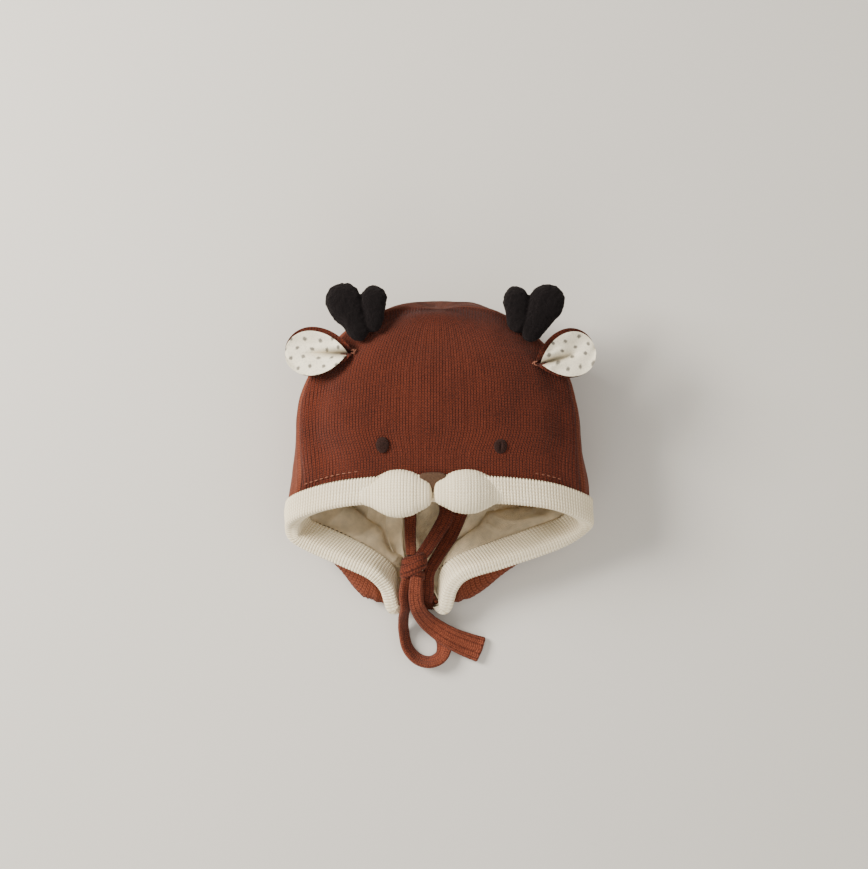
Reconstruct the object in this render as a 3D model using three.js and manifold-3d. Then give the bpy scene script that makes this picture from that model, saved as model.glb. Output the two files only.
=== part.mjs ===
// A baby's knitted bonnet with ears, antlers, a padded muzzle and knotted ties, lying on its back.
// X runs across the hat, +Y to the top of the crown, +Z up from the surface it lies on. Millimetres.
import * as THREE from "three";
import Module from "manifold-3d";

const wasm = await Module();
wasm.setup();

// Driving sizes of the hat as it lies
const HALF_WIDTH = 82; // middle to side, to the inside of the knit
const LENGTH = 175; // crown top to flap tips
const HEIGHT = 68; // surface to the top of the crown
const KNIT = 2.0; // wall of the knitted panels
const LINING = 1.0; // wall of the cotton lining
const SLACK = 1.5; // room between the knit and the lining
const GAP = 0.3; // clearance between pieces that touch
const BAND_WIDTH = 13; // rib band on each side of the face edge
const BAND_WALL = 1.7;
const SEAM_WIDTH = 0.3; // slit between the front and back panels
const CUT_TIDY = 0.02; // slivers thinner than this are dropped after a cut

// Driving sizes of what is sewn on
const EAR_LENGTH = 38;
const EAR_WIDTH = 27;
const EAR_WALL = 1.5;
const EAR_CUP = 4; // how far the edges of an ear stand up
const EAR_PINCH = 4; // depth of the fold at its root
const ANTLER_LENGTH = 34;
const ANTLER_WIDTH = 34;
const ANTLER_THICKNESS = 13;
const MUZZLE_LENGTH = 35;
const MUZZLE_WIDTH = 27;
const MUZZLE_THICKNESS = 15;
const NOSE_WIDTH = 15;
const NOSE_LENGTH = 11;
const NOSE_THICKNESS = 4;
const EYE_WIDTH = 7;
const EYE_LENGTH = 8.5;
const EYE_THICKNESS = 3;
const TIE_WIDTH = 7;
const TIE_THICKNESS = 3;
const TIE_TIP_WIDTH = 13; // at the tip of the end that widens
const KNOT_LENGTH = 17;
const KNOT_WIDTH = 15;
const KNOT_THICKNESS = 11;

// Stations round the face edge, from the middle of the forehead down one side to the nape.
// turn is in degrees. lean is the middle's sideways set, a share of HALF_WIDTH. The points are shares of
// HALF_WIDTH, LENGTH and HEIGHT: rim is the edge, cuff where the band ends on the knit, bulge the fullest
// of the knit beyond it, and valley where the lining meets the back.
const STATIONS = [
  { turn: 0, lean: -0.04, rim: [0, -0.146, 0.853], cuff: [0, -0.075, 0.905],
    bulge: [0, -0.01, 0.95], valley: [0, -0.034, 0.853] },
  { turn: 22, lean: -0.025, rim: [0.354, -0.151, 0.846], cuff: [0.347, -0.078, 0.895],
    bulge: [0.345, -0.012, 0.935], valley: [0.329, -0.034, 0.838] },
  { turn: 44, lean: 0, rim: [0.665, -0.166, 0.779], cuff: [0.655, -0.095, 0.825],
    bulge: [0.645, -0.03, 0.87], valley: [0.61, -0.046, 0.765] },
  { turn: 62, lean: 0, rim: [0.878, -0.194, 0.662], cuff: [0.868, -0.122, 0.705],
    bulge: [0.85, -0.06, 0.755], valley: [0.793, -0.074, 0.632] },
  { turn: 78, lean: 0, rim: [0.982, -0.223, 0.551], cuff: [0.975, -0.155, 0.585],
    bulge: [0.965, -0.09, 0.61], valley: [0.89, -0.114, 0.5] },
  { turn: 92, lean: -0.012, rim: [0.994, -0.254, 0.456], cuff: [1.0, -0.185, 0.45],
    bulge: [0.985, -0.13, 0.45], valley: [0.89, -0.154, 0.353] },
  { turn: 106, lean: -0.05, rim: [0.927, -0.286, 0.397], cuff: [0.96, -0.24, 0.29],
    bulge: [0.96, -0.195, 0.2], valley: [0.805, -0.206, 0.206] },
  { turn: 120, lean: -0.073, rim: [0.744, -0.323, 0.368], cuff: [0.765, -0.31, 0.19],
    bulge: [0.79, -0.305, 0.09], valley: [0.524, -0.211, 0.118] },
  { turn: 133, lean: -0.104, rim: [0.518, -0.363, 0.368], cuff: [0.53, -0.352, 0.185],
    bulge: [0.57, -0.39, 0.09], valley: [0.366, -0.263, 0.088] },
  { turn: 145, lean: -0.146, rim: [0.317, -0.4, 0.353], cuff: [0.33, -0.388, 0.175],
    bulge: [0.4, -0.466, 0.1], valley: [0.22, -0.331, 0.081] },
  { turn: 154, lean: -0.146, rim: [0.22, -0.449, 0.279], cuff: [0.235, -0.44, 0.15],
    bulge: [0.29, -0.485, 0.07], valley: [0.146, -0.377, 0.081] },
  { turn: 161, lean: -0.146, rim: [0.171, -0.517, 0.206], cuff: [0.18, -0.497, 0.11],
    bulge: [0.2, -0.492, 0.06], valley: [0.116, -0.411, 0.081] },
  { turn: 167, lean: -0.146, rim: [0.104, -0.474, 0.191], cuff: [0.115, -0.485, 0.11],
    bulge: [0.125, -0.506, 0.06], valley: [0.085, -0.411, 0.081] },
  { turn: 173, lean: -0.146, rim: [0.061, -0.429, 0.191], cuff: [0.061, -0.472, 0.155],
    bulge: [0.061, -0.51, 0.07], valley: [0.049, -0.4, 0.081] },
  { turn: 180, lean: -0.146, rim: [0, -0.417, 0.191], cuff: [0, -0.465, 0.16],
    bulge: [0, -0.51, 0.07], valley: [0, -0.391, 0.081] },
];

// Rings of the crown, from the face edge to the top. half is a share of HALF_WIDTH. The next three are
// shares of LENGTH at the ring's top, side and underside, the last three shares of HEIGHT at the same places.
const RINGS = [
  { half: 0.965, alongTop: 0.07, alongSide: -0.029, alongUnder: -0.274,
    upTop: 0.971, upSide: 0.47, upUnder: 0.0 },
  { half: 0.939, alongTop: 0.16, alongSide: 0.097, alongUnder: -0.103,
    upTop: 1.0, upSide: 0.485, upUnder: 0.0 },
  { half: 0.86, alongTop: 0.257, alongSide: 0.217, alongUnder: 0.069,
    upTop: 0.971, upSide: 0.485, upUnder: 0.0 },
  { half: 0.689, alongTop: 0.331, alongSide: 0.326, alongUnder: 0.24,
    upTop: 0.897, upSide: 0.5, upUnder: 0.007 },
  { half: 0.5, alongTop: 0.383, alongSide: 0.4, alongUnder: 0.366,
    upTop: 0.838, upSide: 0.529, upUnder: 0.118 },
  { half: 0.256, alongTop: 0.414, alongSide: 0.443, alongUnder: 0.46,
    upTop: 0.809, upSide: 0.632, upUnder: 0.397 },
];
const POLE = { along: 0.443, up: 0.72 };
const LEAN_RING = -0.012; // sideways set of the crown, share of HALF_WIDTH
const FLOOR_BEND = 3; // how softly the underside bends up from the surface, in millimetres
const VALLEY_SLOPE = 0.45; // where the lining's slope has its own row, from rim to valley
const UNDER_DIP = 0.09; // how far the underside would sink into the surface, share of HEIGHT

const SEAM_STATION = 3.5; // the front panel reaches this far round
const BAND_END = 11.5; // the band ends at the flap tips
const TIP_TAPER_START = 9; // from this station on the band narrows
const TIP_TAPER = 0.4; // by this share at its end
const COLUMNS_PER_STATION = 2;
const CROWN_ROWS = [0.09, 0.2, 0.33, 0.47, 0.61, 0.75, 0.88, 1];
const MERIDIAN_STEPS = 80;

const V = (x, y, z) => new THREE.Vector3(x, y, z);
const stationCount = 2 * (STATIONS.length - 1);
const smooth = (t) => t * t * (3 - 2 * t);

// The control net of the knit: a row of points each for the rim, the cuff, the bulge, every ring and the
// pole. The lining's valley points are worked out beside it.
function controlNet() {
  const columns = [];
  const valleys = [];
  for (let c = 0; c < stationCount; c += 1) {
    const side = c < STATIONS.length ? 1 : -1;
    const row = STATIONS[side > 0 ? c : stationCount - c];
    const lean = row.lean * HALF_WIDTH;
    const place = ([out, along, up]) =>
      V(side * out * HALF_WIDTH + lean, along * LENGTH, up * HEIGHT);
    const turn = THREE.MathUtils.degToRad(row.turn);
    const wide = Math.abs(Math.sin(turn)) ** 0.8;
    const high = Math.sign(Math.cos(turn)) * Math.abs(Math.cos(turn)) ** (Math.cos(turn) > 0 ? 0.9 : 0.5);
    const rings = RINGS.map((ring) => {
      const half = ring.half * HALF_WIDTH;
      const along =
        ring.alongSide +
        ((ring.alongTop - ring.alongUnder) / 2) * high +
        ((ring.alongTop + ring.alongUnder) / 2 - ring.alongSide) * high * high;
      const dip = ring.upUnder > 0.05 ? 0 : UNDER_DIP;
      const far = high > 0 ? ring.upTop : ring.upUnder - dip;
      const up = ring.upSide + (far - ring.upSide) * Math.abs(high);
      return V(side * half * wide + LEAN_RING * HALF_WIDTH, along * LENGTH, up * HEIGHT);
    });
    const pole = V(LEAN_RING * HALF_WIDTH, POLE.along * LENGTH, POLE.up * HEIGHT);
    columns.push([place(row.rim), place(row.cuff), place(row.bulge), ...rings, pole]);
    valleys.push(place(row.valley));
  }
  return [columns, valleys];
}

// Weights of the four points about a step t of a Catmull-Rom curve.
function weights(t) {
  return [
    (-t + 2 * t * t - t * t * t) / 2,
    (2 - 5 * t * t + 3 * t * t * t) / 2,
    (t + 4 * t * t - 3 * t * t * t) / 2,
    (-t * t + t * t * t) / 2,
  ];
}

// What would sink below the floor lies flat on it, and bends up smoothly beside it.
function settle(z, floor) {
  const over = z - floor;
  if (over > FLOOR_BEND) return z;
  if (over < -FLOOR_BEND) return floor;
  return floor + (over + FLOOR_BEND) ** 2 / (4 * FLOOR_BEND);
}

// The smooth surface through a control net: station runs round, row from the rim to the pole.
function surfacePoint(net, station, row, floor) {
  const last = net[0].length - 1;
  const r = Math.min(Math.floor(row), last - 1);
  const s = Math.floor(station);
  const across = weights(station - s);
  const down = weights(row - r);
  const at = (c, k) => {
    const column = net[(c + 2 * stationCount) % stationCount];
    if (k < 0) return column[0].clone().multiplyScalar(2).sub(column[1]);
    if (k > last) return column[last].clone().multiplyScalar(2).sub(column[last - 1]);
    return column[k];
  };
  const sum = V(0, 0, 0);
  for (let i = 0; i < 4; i += 1)
    for (let j = 0; j < 4; j += 1) sum.addScaledVector(at(s + i - 1, r + j - 1), across[i] * down[j]);
  sum.z = settle(sum.z, floor);
  return sum;
}

// The surface's point with its outward normal and the direction from the rim to the pole.
function surfaceFrame(net, station, row, floor) {
  const last = net[0].length - 1;
  const small = 0.02;
  const inRow = Math.min(row, last - 0.05);
  const round = surfacePoint(net, station + small, inRow, floor).sub(
    surfacePoint(net, station - small, inRow, floor),
  );
  const down = surfacePoint(net, station, Math.min(inRow + small, last), floor).sub(
    surfacePoint(net, station, Math.max(inRow - small, 0), floor),
  );
  const normal = round.cross(down).normalize();
  return { row, point: surfacePoint(net, station, row, floor), normal, down: down.normalize() };
}

// The band's width at a station: it narrows towards the flap tips.
function bandReach(station) {
  const turn = Math.min(station, stationCount - station);
  const near = THREE.MathUtils.clamp((turn - TIP_TAPER_START) / (BAND_END - TIP_TAPER_START), 0, 1);
  return BAND_WIDTH * (1 - TIP_TAPER * smooth(near));
}

// Points and outward normals of a panel on a grid: equal arc lengths from the rim over the band, then
// shares of what is left up to the pole. With under given, the later rows lie under that grid's rows.
function panelGrid(net, floor, stations, under) {
  const last = net[0].length - 1;
  return stations.map((station, c) => {
    const lengths = [0];
    let before = surfacePoint(net, station, 0, floor);
    for (let i = 1; i <= MERIDIAN_STEPS; i += 1) {
      const point = surfacePoint(net, station, (last * i) / MERIDIAN_STEPS, floor);
      lengths.push(lengths[i - 1] + point.distanceTo(before));
      before = point;
    }
    const total = lengths[MERIDIAN_STEPS];
    const rowAt = (target) => {
      let i = 1;
      while (i < MERIDIAN_STEPS && lengths[i] < target) i += 1;
      const step = (target - lengths[i - 1]) / (lengths[i] - lengths[i - 1]);
      return (last * (i - 1 + Math.min(step, 1))) / MERIDIAN_STEPS;
    };
    const reach = bandReach(station);
    const bandRows = [0, 0.5, 1].map((share) => rowAt(share * reach));
    const crownRows = under
      ? under[c].slice(bandRows.length).map((frame) => frame.row)
      : CROWN_ROWS.map((share) => rowAt(reach + share * (total - reach)));
    return [...bandRows, ...crownRows].map((row) => surfaceFrame(net, station, row, floor));
  });
}

// One normal at the pole, the mean of what the columns say.
function settlePole(grid) {
  const mean = V(0, 0, 0);
  const last = grid[0].length - 1;
  for (const column of grid) mean.add(column[last].normal);
  mean.normalize();
  for (const column of grid) column[last].normal = mean.clone();
}

const offset = (grid, distance, floor) =>
  grid.map((column) =>
    column.map(({ point, normal }) => {
      const moved = point.clone().addScaledVector(normal, distance);
      moved.z = Math.max(moved.z, floor);
      return moved;
    }),
  );

// A closed mesh from triangles of points: welds, drops slivers and turns it to face out.
function weld(triangles) {
  const keys = new Map();
  const positions = [];
  const indices = [];
  const cell = 1e-3;
  for (const corners of triangles) {
    const ids = corners.map((p) => {
      const key = `${Math.round(p.x / cell)},${Math.round(p.y / cell)},${Math.round(p.z / cell)}`;
      if (!keys.has(key)) {
        keys.set(key, positions.length / 3);
        positions.push(p.x, p.y, p.z);
      }
      return keys.get(key);
    });
    if (new Set(ids).size === 3) indices.push(...ids);
  }
  const point = (i) => V(positions[3 * i], positions[3 * i + 1], positions[3 * i + 2]);
  let volume = 0;
  for (let i = 0; i < indices.length; i += 3)
    volume += point(indices[i]).dot(point(indices[i + 1]).cross(point(indices[i + 2])));
  if (volume < 0)
    for (let i = 0; i < indices.length; i += 3)
      [indices[i], indices[i + 1]] = [indices[i + 1], indices[i]];
  return { positions, indices };
}

function solidOf({ positions, indices }) {
  return new wasm.Manifold(
    new wasm.Mesh({
      numProp: 3,
      vertProperties: new Float32Array(positions),
      triVerts: new Uint32Array(indices),
    }),
  );
}

// The largest closed skin of a solid: what a cut leaves loose, or sealed inside, is dropped.
function mainSkin(solid) {
  const { vertProperties, triVerts } = solid.asOriginal().simplify(CUT_TIDY).getMesh();
  const group = Array.from({ length: vertProperties.length / 3 }, (_, i) => i);
  const headOf = (i) => {
    let head = i;
    while (group[head] !== head) head = group[head];
    group[i] = head;
    return head;
  };
  for (let i = 0; i < triVerts.length; i += 3) {
    group[headOf(triVerts[i])] = headOf(triVerts[i + 1]);
    group[headOf(triVerts[i + 1])] = headOf(triVerts[i + 2]);
  }
  const skins = new Map();
  for (let i = 0; i < triVerts.length; i += 3) {
    const head = headOf(triVerts[i]);
    if (!skins.has(head)) skins.set(head, []);
    skins.get(head).push(triVerts[i], triVerts[i + 1], triVerts[i + 2]);
  }
  const indices = [...skins.values()].sort((a, b) => b.length - a.length)[0];
  return solidOf({ positions: vertProperties, indices });
}

function geometryOf(solid) {
  const mesh = solid.getMesh();
  const geometry = new THREE.BufferGeometry();
  geometry.setAttribute("position", new THREE.BufferAttribute(new Float32Array(mesh.vertProperties), 3));
  geometry.setIndex(new THREE.BufferAttribute(new Uint32Array(mesh.triVerts), 1));
  geometry.computeVertexNormals();
  return geometry;
}

// A solid from rows of closed sections: each row is a loop of points, and the first and last are capped.
function loftSolid(rows, closedRound) {
  const triangles = [];
  const quad = (a, b, c, d) => triangles.push([a, b, c], [a, c, d]);
  const count = rows[0].length;
  const ends = closedRound ? rows.length : rows.length - 1;
  for (let r = 0; r < ends; r += 1) {
    const here = rows[r];
    const next = rows[(r + 1) % rows.length];
    for (let i = 0; i < count; i += 1) quad(here[i], here[(i + 1) % count], next[(i + 1) % count], next[i]);
  }
  if (!closedRound) {
    for (const [row, flip] of [[rows[0], false], [rows[rows.length - 1], true]]) {
      const centre = row.reduce((sum, p) => sum.add(p), V(0, 0, 0)).divideScalar(count);
      for (let i = 0; i < count; i += 1) {
        const a = row[i];
        const b = row[(i + 1) % count];
        triangles.push(flip ? [centre, a, b] : [centre, b, a]);
      }
    }
  }
  return solidOf(weld(triangles));
}

// A wall between two grids of points. closedRound joins the last column to the first.
function wallSolid(outer, inner, closedRound) {
  const triangles = [];
  const quad = (a, b, c, d) => triangles.push([a, b, c], [a, c, d]);
  const columns = outer.length;
  const rows = outer[0].length;
  const ends = closedRound ? columns : columns - 1;
  for (let c = 0; c < ends; c += 1) {
    const n = (c + 1) % columns;
    for (let r = 0; r < rows - 1; r += 1) {
      quad(outer[n][r], outer[n][r + 1], outer[c][r + 1], outer[c][r]);
      quad(inner[c][r], inner[c][r + 1], inner[n][r + 1], inner[n][r]);
    }
    quad(outer[c][0], inner[c][0], inner[n][0], outer[n][0]);
    quad(outer[n][rows - 1], inner[n][rows - 1], inner[c][rows - 1], outer[c][rows - 1]);
  }
  if (!closedRound)
    for (let r = 0; r < rows - 1; r += 1) {
      const e = columns - 1;
      quad(outer[0][r], outer[0][r + 1], inner[0][r + 1], inner[0][r]);
      quad(outer[e][r], inner[e][r], inner[e][r + 1], outer[e][r + 1]);
    }
  return solidOf(weld(triangles));
}

// The knit and the lining
const [knitNet, valleys] = controlNet();
const allStations = Array.from(
  { length: stationCount * COLUMNS_PER_STATION },
  (_, i) => i / COLUMNS_PER_STATION,
);
const knitFloor = KNIT;
const knitGrid = panelGrid(knitNet, knitFloor, allStations);
settlePole(knitGrid);
const knitShell = wallSolid(offset(knitGrid, KNIT, 0), offset(knitGrid, 0, knitFloor), true);

// The lining's net follows the knit's, drawn in by the slack, but for its valley.
const liningNet = knitNet.map((column, c) =>
  column.map((point, row) => {
    if (row === 1) return column[0].clone().lerp(valleys[c], VALLEY_SLOPE);
    if (row === 2) return valleys[c];
    const { normal } = surfaceFrame(knitNet, c, row, -HEIGHT);
    return point.clone().addScaledVector(normal, row === 0 ? -2 * GAP : -SLACK);
  }),
);
const liningFloor = KNIT + SLACK;
const liningGrid = panelGrid(liningNet, liningFloor, allStations, knitGrid);
settlePole(liningGrid);
const liningShell = wallSolid(
  offset(liningGrid, 0, liningFloor),
  offset(liningGrid, -LINING, liningFloor + LINING),
  true,
);

// The slit between the front and back panels follows the seam over the head from rim to rim.
function seamBlade() {
  const above = 1.4 * KNIT;
  const below = 0.4 * KNIT;
  const sections = [];
  const add = (column, step, extra) => {
    const r = Math.min(Math.floor(step), column.length - 2);
    const t = step - r;
    const mix = (key) => column[r][key].clone().lerp(column[r + 1][key], t);
    const normal = mix("normal").normalize();
    const side = normal.clone().cross(mix("down")).normalize();
    if (column.mirrored) side.negate();
    const at = mix("point").addScaledVector(mix("down"), extra);
    const corner = (up, across) =>
      at.clone().addScaledVector(normal, up).addScaledVector(side, (across * SEAM_WIDTH) / 2);
    sections.push([corner(above, 1), corner(above, -1), corner(-below, -1), corner(-below, 1)]);
  };
  const [right, left] = panelGrid(knitNet, knitFloor, [SEAM_STATION, stationCount - SEAM_STATION]);
  left.mirrored = true;
  const last = right.length - 1;
  const stepsPerRow = 3;
  add(right, 0, -BAND_WIDTH / 2);
  for (let k = 0; k < last * stepsPerRow; k += 1) add(right, k / stepsPerRow, 0);
  for (let k = last * stepsPerRow - 1; k >= 0; k -= 1) add(left, k / stepsPerRow, 0);
  add(left, 0, -BAND_WIDTH / 2);
  return loftSolid(sections, false);
}

const [crownBack, crownFront] = knitShell
  .subtract(seamBlade())
  .decompose()
  .sort((a, b) => b.volume() - a.volume());

// The rib band folds round the face edge. grow draws it thicker all round, for what has to clear it.
function bandSolid(grow) {
  const stations = allStations.filter((s) => s < BAND_END || s > stationCount - BAND_END);
  stations.push(BAND_END, stationCount - BAND_END);
  const order = (s) => (s > stationCount / 2 ? s - stationCount : s);
  stations.sort((a, b) => order(a) - order(b));
  const knit = panelGrid(knitNet, knitFloor, stations);
  const cotton = panelGrid(liningNet, liningFloor, stations);
  const near = GAP - grow;
  const far = GAP + BAND_WALL + grow;
  const sections = stations.map((_, i) => {
    const edge = knit[i][0].down.clone().add(cotton[i][0].down).normalize();
    const outside = (row, reach, out) => {
      const { point, normal, down } = knit[i][row];
      const p = point.clone().addScaledVector(normal, KNIT + reach).addScaledVector(edge, -out);
      if (row === 2) p.addScaledVector(down, 2 * grow);
      p.z = Math.max(p.z, KNIT * 0.2);
      return p;
    };
    const inside = (row, reach, out) => {
      const { point, normal } = cotton[i][row];
      return point.clone().addScaledVector(normal, -LINING - reach).addScaledVector(edge, -out);
    };
    const fold = outside(0, 0, far * 1.25).lerp(inside(0, 0, far * 1.25), 0.5);
    return [
      outside(2, near, 0),
      outside(1, near, 0),
      outside(0, near, near),
      inside(0, near, near),
      inside(1, near, 0),
      inside(2, near, 0),
      inside(2, far, 0),
      inside(1, far, 0),
      inside(0, far, far * 0.5),
      fold,
      outside(0, far, far * 0.5),
      outside(1, far, 0),
      outside(2, far, 0),
    ];
  });
  return loftSolid(sections, false);
}
const knitRoom = (clear) =>
  wallSolid(offset(knitGrid, KNIT + clear, -GAP), offset(knitGrid, -clear, knitFloor - clear), true);
const faceBand = mainSkin(bandSolid(0).subtract(knitRoom(0.8 * GAP)).subtract(crownBack));
const lining = mainSkin(liningShell.subtract(knitRoom(0.5 * GAP)));

// What is sewn on is cut back to clear the knit and the band.
const seatDepth = 3 * KNIT; // how deep a piece may reach into the knit before it is cut back
const room = wallSolid(
  offset(knitGrid, KNIT + GAP, -GAP),
  offset(knitGrid, -seatDepth, knitFloor - GAP),
  true,
).add(bandSolid(GAP));
const seat = (solid) => mainSkin(solid.subtract(room));

// The point of the knit's outside above a place in plan, found by stepping towards it.
function onKnit(x, y) {
  let station = x < 0 ? stationCount - 1.5 : 1.5;
  let row = 4;
  const at = (s, r) => surfacePoint(knitNet, s, r, knitFloor);
  for (let i = 0; i < 30; i += 1) {
    const here = at(station, row);
    const small = 0.01;
    const round = at(station + small, row).sub(here).divideScalar(small);
    const down = at(station, row + small).sub(here).divideScalar(small);
    const det = round.x * down.y - round.y * down.x;
    const dx = x - here.x;
    const dy = y - here.y;
    station += THREE.MathUtils.clamp((dx * down.y - dy * down.x) / det, -0.5, 0.5);
    row += THREE.MathUtils.clamp((round.x * dy - round.y * dx) / det, -0.5, 0.5);
    row = THREE.MathUtils.clamp(row, 0, knitNet[0].length - 1.05);
  }
  return at(station, row).z + KNIT;
}

const END_ROUND = 8; // even, and higher for blunter ends
// A padded form along a line of places in plan. Each row gives the place, the half width and the half
// thickness there, and the sections between are smooth. full squares the section up.
function padded(rows, { steps = 10, sides = 12, full = 0.85 } = {}) {
  const middle = new THREE.CatmullRomCurve3(rows.map((row) => row.at));
  const sizes = new THREE.CatmullRomCurve3(rows.map((row) => V(row.wide, row.thick, 0)));
  const power = (value) => Math.sign(value) * Math.abs(value) ** full;
  const sections = [];
  for (let i = 0; i <= steps; i += 1) {
    const t = (1 - Math.cos((Math.PI * i) / steps)) / 2;
    const at = middle.getPoint(t);
    const along = middle.getTangent(t);
    const side = V(0, 0, 1).cross(along).normalize();
    const up = along.clone().cross(side);
    const size = sizes.getPoint(t);
    const end = Math.max(0.02, Math.sqrt(Math.max(0, 1 - (2 * t - 1) ** END_ROUND)));
    const loop = [];
    for (let k = 0; k < sides; k += 1) {
      const angle = (2 * Math.PI * k) / sides;
      loop.push(
        at
          .clone()
          .addScaledVector(side, size.x * end * power(Math.cos(angle)))
          .addScaledVector(up, size.y * end * power(Math.sin(angle))),
      );
    }
    sections.push(loop);
  }
  return loftSolid(sections, false);
}

// Places of what is sewn on, on the front panel. x is a share of HALF_WIDTH and y of LENGTH.
const onHat = (x, y, lift = 0) => V(x * HALF_WIDTH, y * LENGTH, onKnit(x * HALF_WIDTH, y * LENGTH) + lift);

// The muzzle: two puffs that widen from the band, fullest in the middle, and narrow towards the nose.
const MUZZLE_MIDDLE = -0.048;
const MUZZLE_ALONG = -0.138;
const MUZZLE_SPLIT = 0.4; // half the slit between the puffs, in millimetres
const MUZZLE_ROWS = [
  { share: 0.0, wide: 0.38, thick: 0.3 },
  { share: 0.09, wide: 0.52, thick: 0.52 },
  { share: 0.2, wide: 0.74, thick: 0.76 },
  { share: 0.31, wide: 0.9, thick: 0.93 },
  { share: 0.49, wide: 1.0, thick: 1.0 },
  { share: 0.65, wide: 0.97, thick: 0.9 },
  { share: 0.81, wide: 0.79, thick: 0.66 },
  { share: 1.0, wide: 0.58, thick: 0.36 },
];
const MUZZLE_FALL = 0.055; // how far the outer end lies below the middle, share of HEIGHT
function muzzleForm(side, grow) {
  const middle = MUZZLE_MIDDLE * HALF_WIDTH;
  const crest = onKnit(middle, (MUZZLE_ALONG + 0.03) * LENGTH) + GAP + BAND_WALL;
  const rows = MUZZLE_ROWS.map(({ share, wide, thick }) => ({
    at: V(
      middle + side * (MUZZLE_SPLIT + share * MUZZLE_LENGTH),
      MUZZLE_ALONG * LENGTH,
      crest - MUZZLE_FALL * share * HEIGHT,
    ),
    wide: (wide * MUZZLE_WIDTH) / 2 + grow,
    thick: (thick * MUZZLE_THICKNESS) / 2 + grow,
  }));
  return padded(rows, { steps: 10, sides: 14 });
}

const NOSE_TOP = -0.071; // share of LENGTH
// The nose: a small patch, wide above and narrow below, between the puffs.
function nose() {
  const top = onHat(MUZZLE_MIDDLE, NOSE_TOP, GAP + BAND_WALL);
  const tip = onHat(MUZZLE_MIDDLE, NOSE_TOP - NOSE_LENGTH / LENGTH, GAP + BAND_WALL);
  const place = (t) => top.clone().lerp(tip, t);
  const row = (t, wide) => ({ at: place(t), wide: (wide * NOSE_WIDTH) / 2, thick: NOSE_THICKNESS / 2 });
  const rows = [row(0, 0.95), row(0.3, 1), row(0.7, 0.7), row(1, 0.3)];
  return padded(rows, { steps: 5, sides: 10, full: 0.6 });
}

// The eyes: small raised ovals of embroidery.
function eye(x, y) {
  const half = EYE_LENGTH / 2 / LENGTH;
  const row = (share, wide) => ({
    at: onHat(x, y + share * half, EYE_THICKNESS * 0.05),
    wide: (wide * EYE_WIDTH) / 2,
    thick: EYE_THICKNESS / 2,
  });
  return seat(padded([row(-1, 0.5), row(-0.4, 1), row(0.4, 1), row(1, 0.5)], { steps: 6, sides: 10 }));
}

// The antlers: two padded lobes that part above a common root. Shares of ANTLER_WIDTH and ANTLER_LENGTH
// from the root, wide and thick of half the width and the thickness.
const ANTLER_MIDDLE = 0.034; // the pair sits a little to one side
const ANTLER_ROOT = [0.56, 0.337];
const ANTLER_LOBES = [
  [
    { out: -0.03, up: 0.0, wide: 0.36, thick: 0.6 },
    { out: 0.115, up: 0.357, wide: 0.43, thick: 0.9 },
    { out: 0.29, up: 0.67, wide: 0.54, thick: 1.0 },
    { out: 0.38, up: 0.98, wide: 0.42, thick: 0.75 },
  ],
  [
    { out: -0.14, up: 0.06, wide: 0.32, thick: 0.6 },
    { out: -0.2, up: 0.4, wide: 0.36, thick: 0.8 },
    { out: -0.2, up: 0.7, wide: 0.42, thick: 0.85 },
    { out: -0.2, up: 0.93, wide: 0.32, thick: 0.65 },
  ],
];
const ANTLER_FALL = 0.12; // slope down to the tips
function antler(side) {
  const [x, y] = ANTLER_ROOT;
  const root = onHat(side * x + ANTLER_MIDDLE, y, ANTLER_THICKNESS * 0.35);
  const lobes = ANTLER_LOBES.map((rows) =>
    padded(
      rows.map(({ out, up, wide, thick }) => ({
        at: V(side * out * ANTLER_WIDTH, up * ANTLER_LENGTH, -ANTLER_FALL * up * ANTLER_LENGTH).add(root),
        wide: (wide * ANTLER_WIDTH) / 2,
        thick: (thick * ANTLER_THICKNESS) / 2,
      })),
      { steps: 7, sides: 10 },
    ),
  );
  return seat(lobes[0].add(lobes[1]));
}

// The ears: teardrops pinched at the root, a brown back and a cream front, cupped with a valley between.
const EAR_WIDEST = 0.6;
const EAR_FRONT = 0.9; // the cream front's size as a share of the back's
const EAR_ROWS = 9;
const EAR_SIDES = 3;
const EARS = {
  left: { root: [-0.578, 0.305], turn: 180, side: -1, length: EAR_LENGTH },
  right: { root: [0.633, 0.268], turn: 12, side: 1, length: EAR_LENGTH * 0.9 },
};
function earWidth(t) {
  if (t > EAR_WIDEST) return Math.sqrt(Math.max(0, 1 - ((t - EAR_WIDEST) / (1 - EAR_WIDEST)) ** 2));
  return Math.sin((Math.PI / 2) * (t / EAR_WIDEST) ** 0.8);
}
function earLayer({ root, turn, side, length }, level, size) {
  const base = onHat(root[0], root[1], EAR_WALL + GAP);
  const angle = THREE.MathUtils.degToRad(turn);
  const along = V(Math.cos(angle), Math.sin(angle), -0.12).normalize();
  const across = V(0, 0, 1).cross(along).normalize().multiplyScalar(-side);
  const up = V(0, 0, 1);
  const sheet = (lift) => {
    const columns = [];
    for (let i = 0; i <= EAR_ROWS; i += 1) {
      const share = i / EAR_ROWS;
      const t = size * share + (1 - size) * 0.8;
      const wide = (size * EAR_WIDTH * earWidth(share)) / 2;
      const column = [];
      for (let k = -EAR_SIDES; k <= EAR_SIDES; k += 1) {
        const b = k / EAR_SIDES;
        const pinch = EAR_PINCH * Math.max(0, 1 - t / 0.8) * Math.min(1, 2 * earWidth(share));
        const fold = pinch * Math.abs(b) ** 0.7;
        const cup = EAR_CUP * b * b * earWidth(share);
        const rounded = lift * (1 - 0.35 * b * b);
        column.push(
          base
            .clone()
            .addScaledVector(along, t * length)
            .addScaledVector(across, b * wide)
            .addScaledVector(up, fold + cup + level + rounded),
        );
      }
      columns.push(column);
    }
    return columns;
  };
  return seat(wallSolid(sheet(EAR_WALL), sheet(0), false));
}

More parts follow.
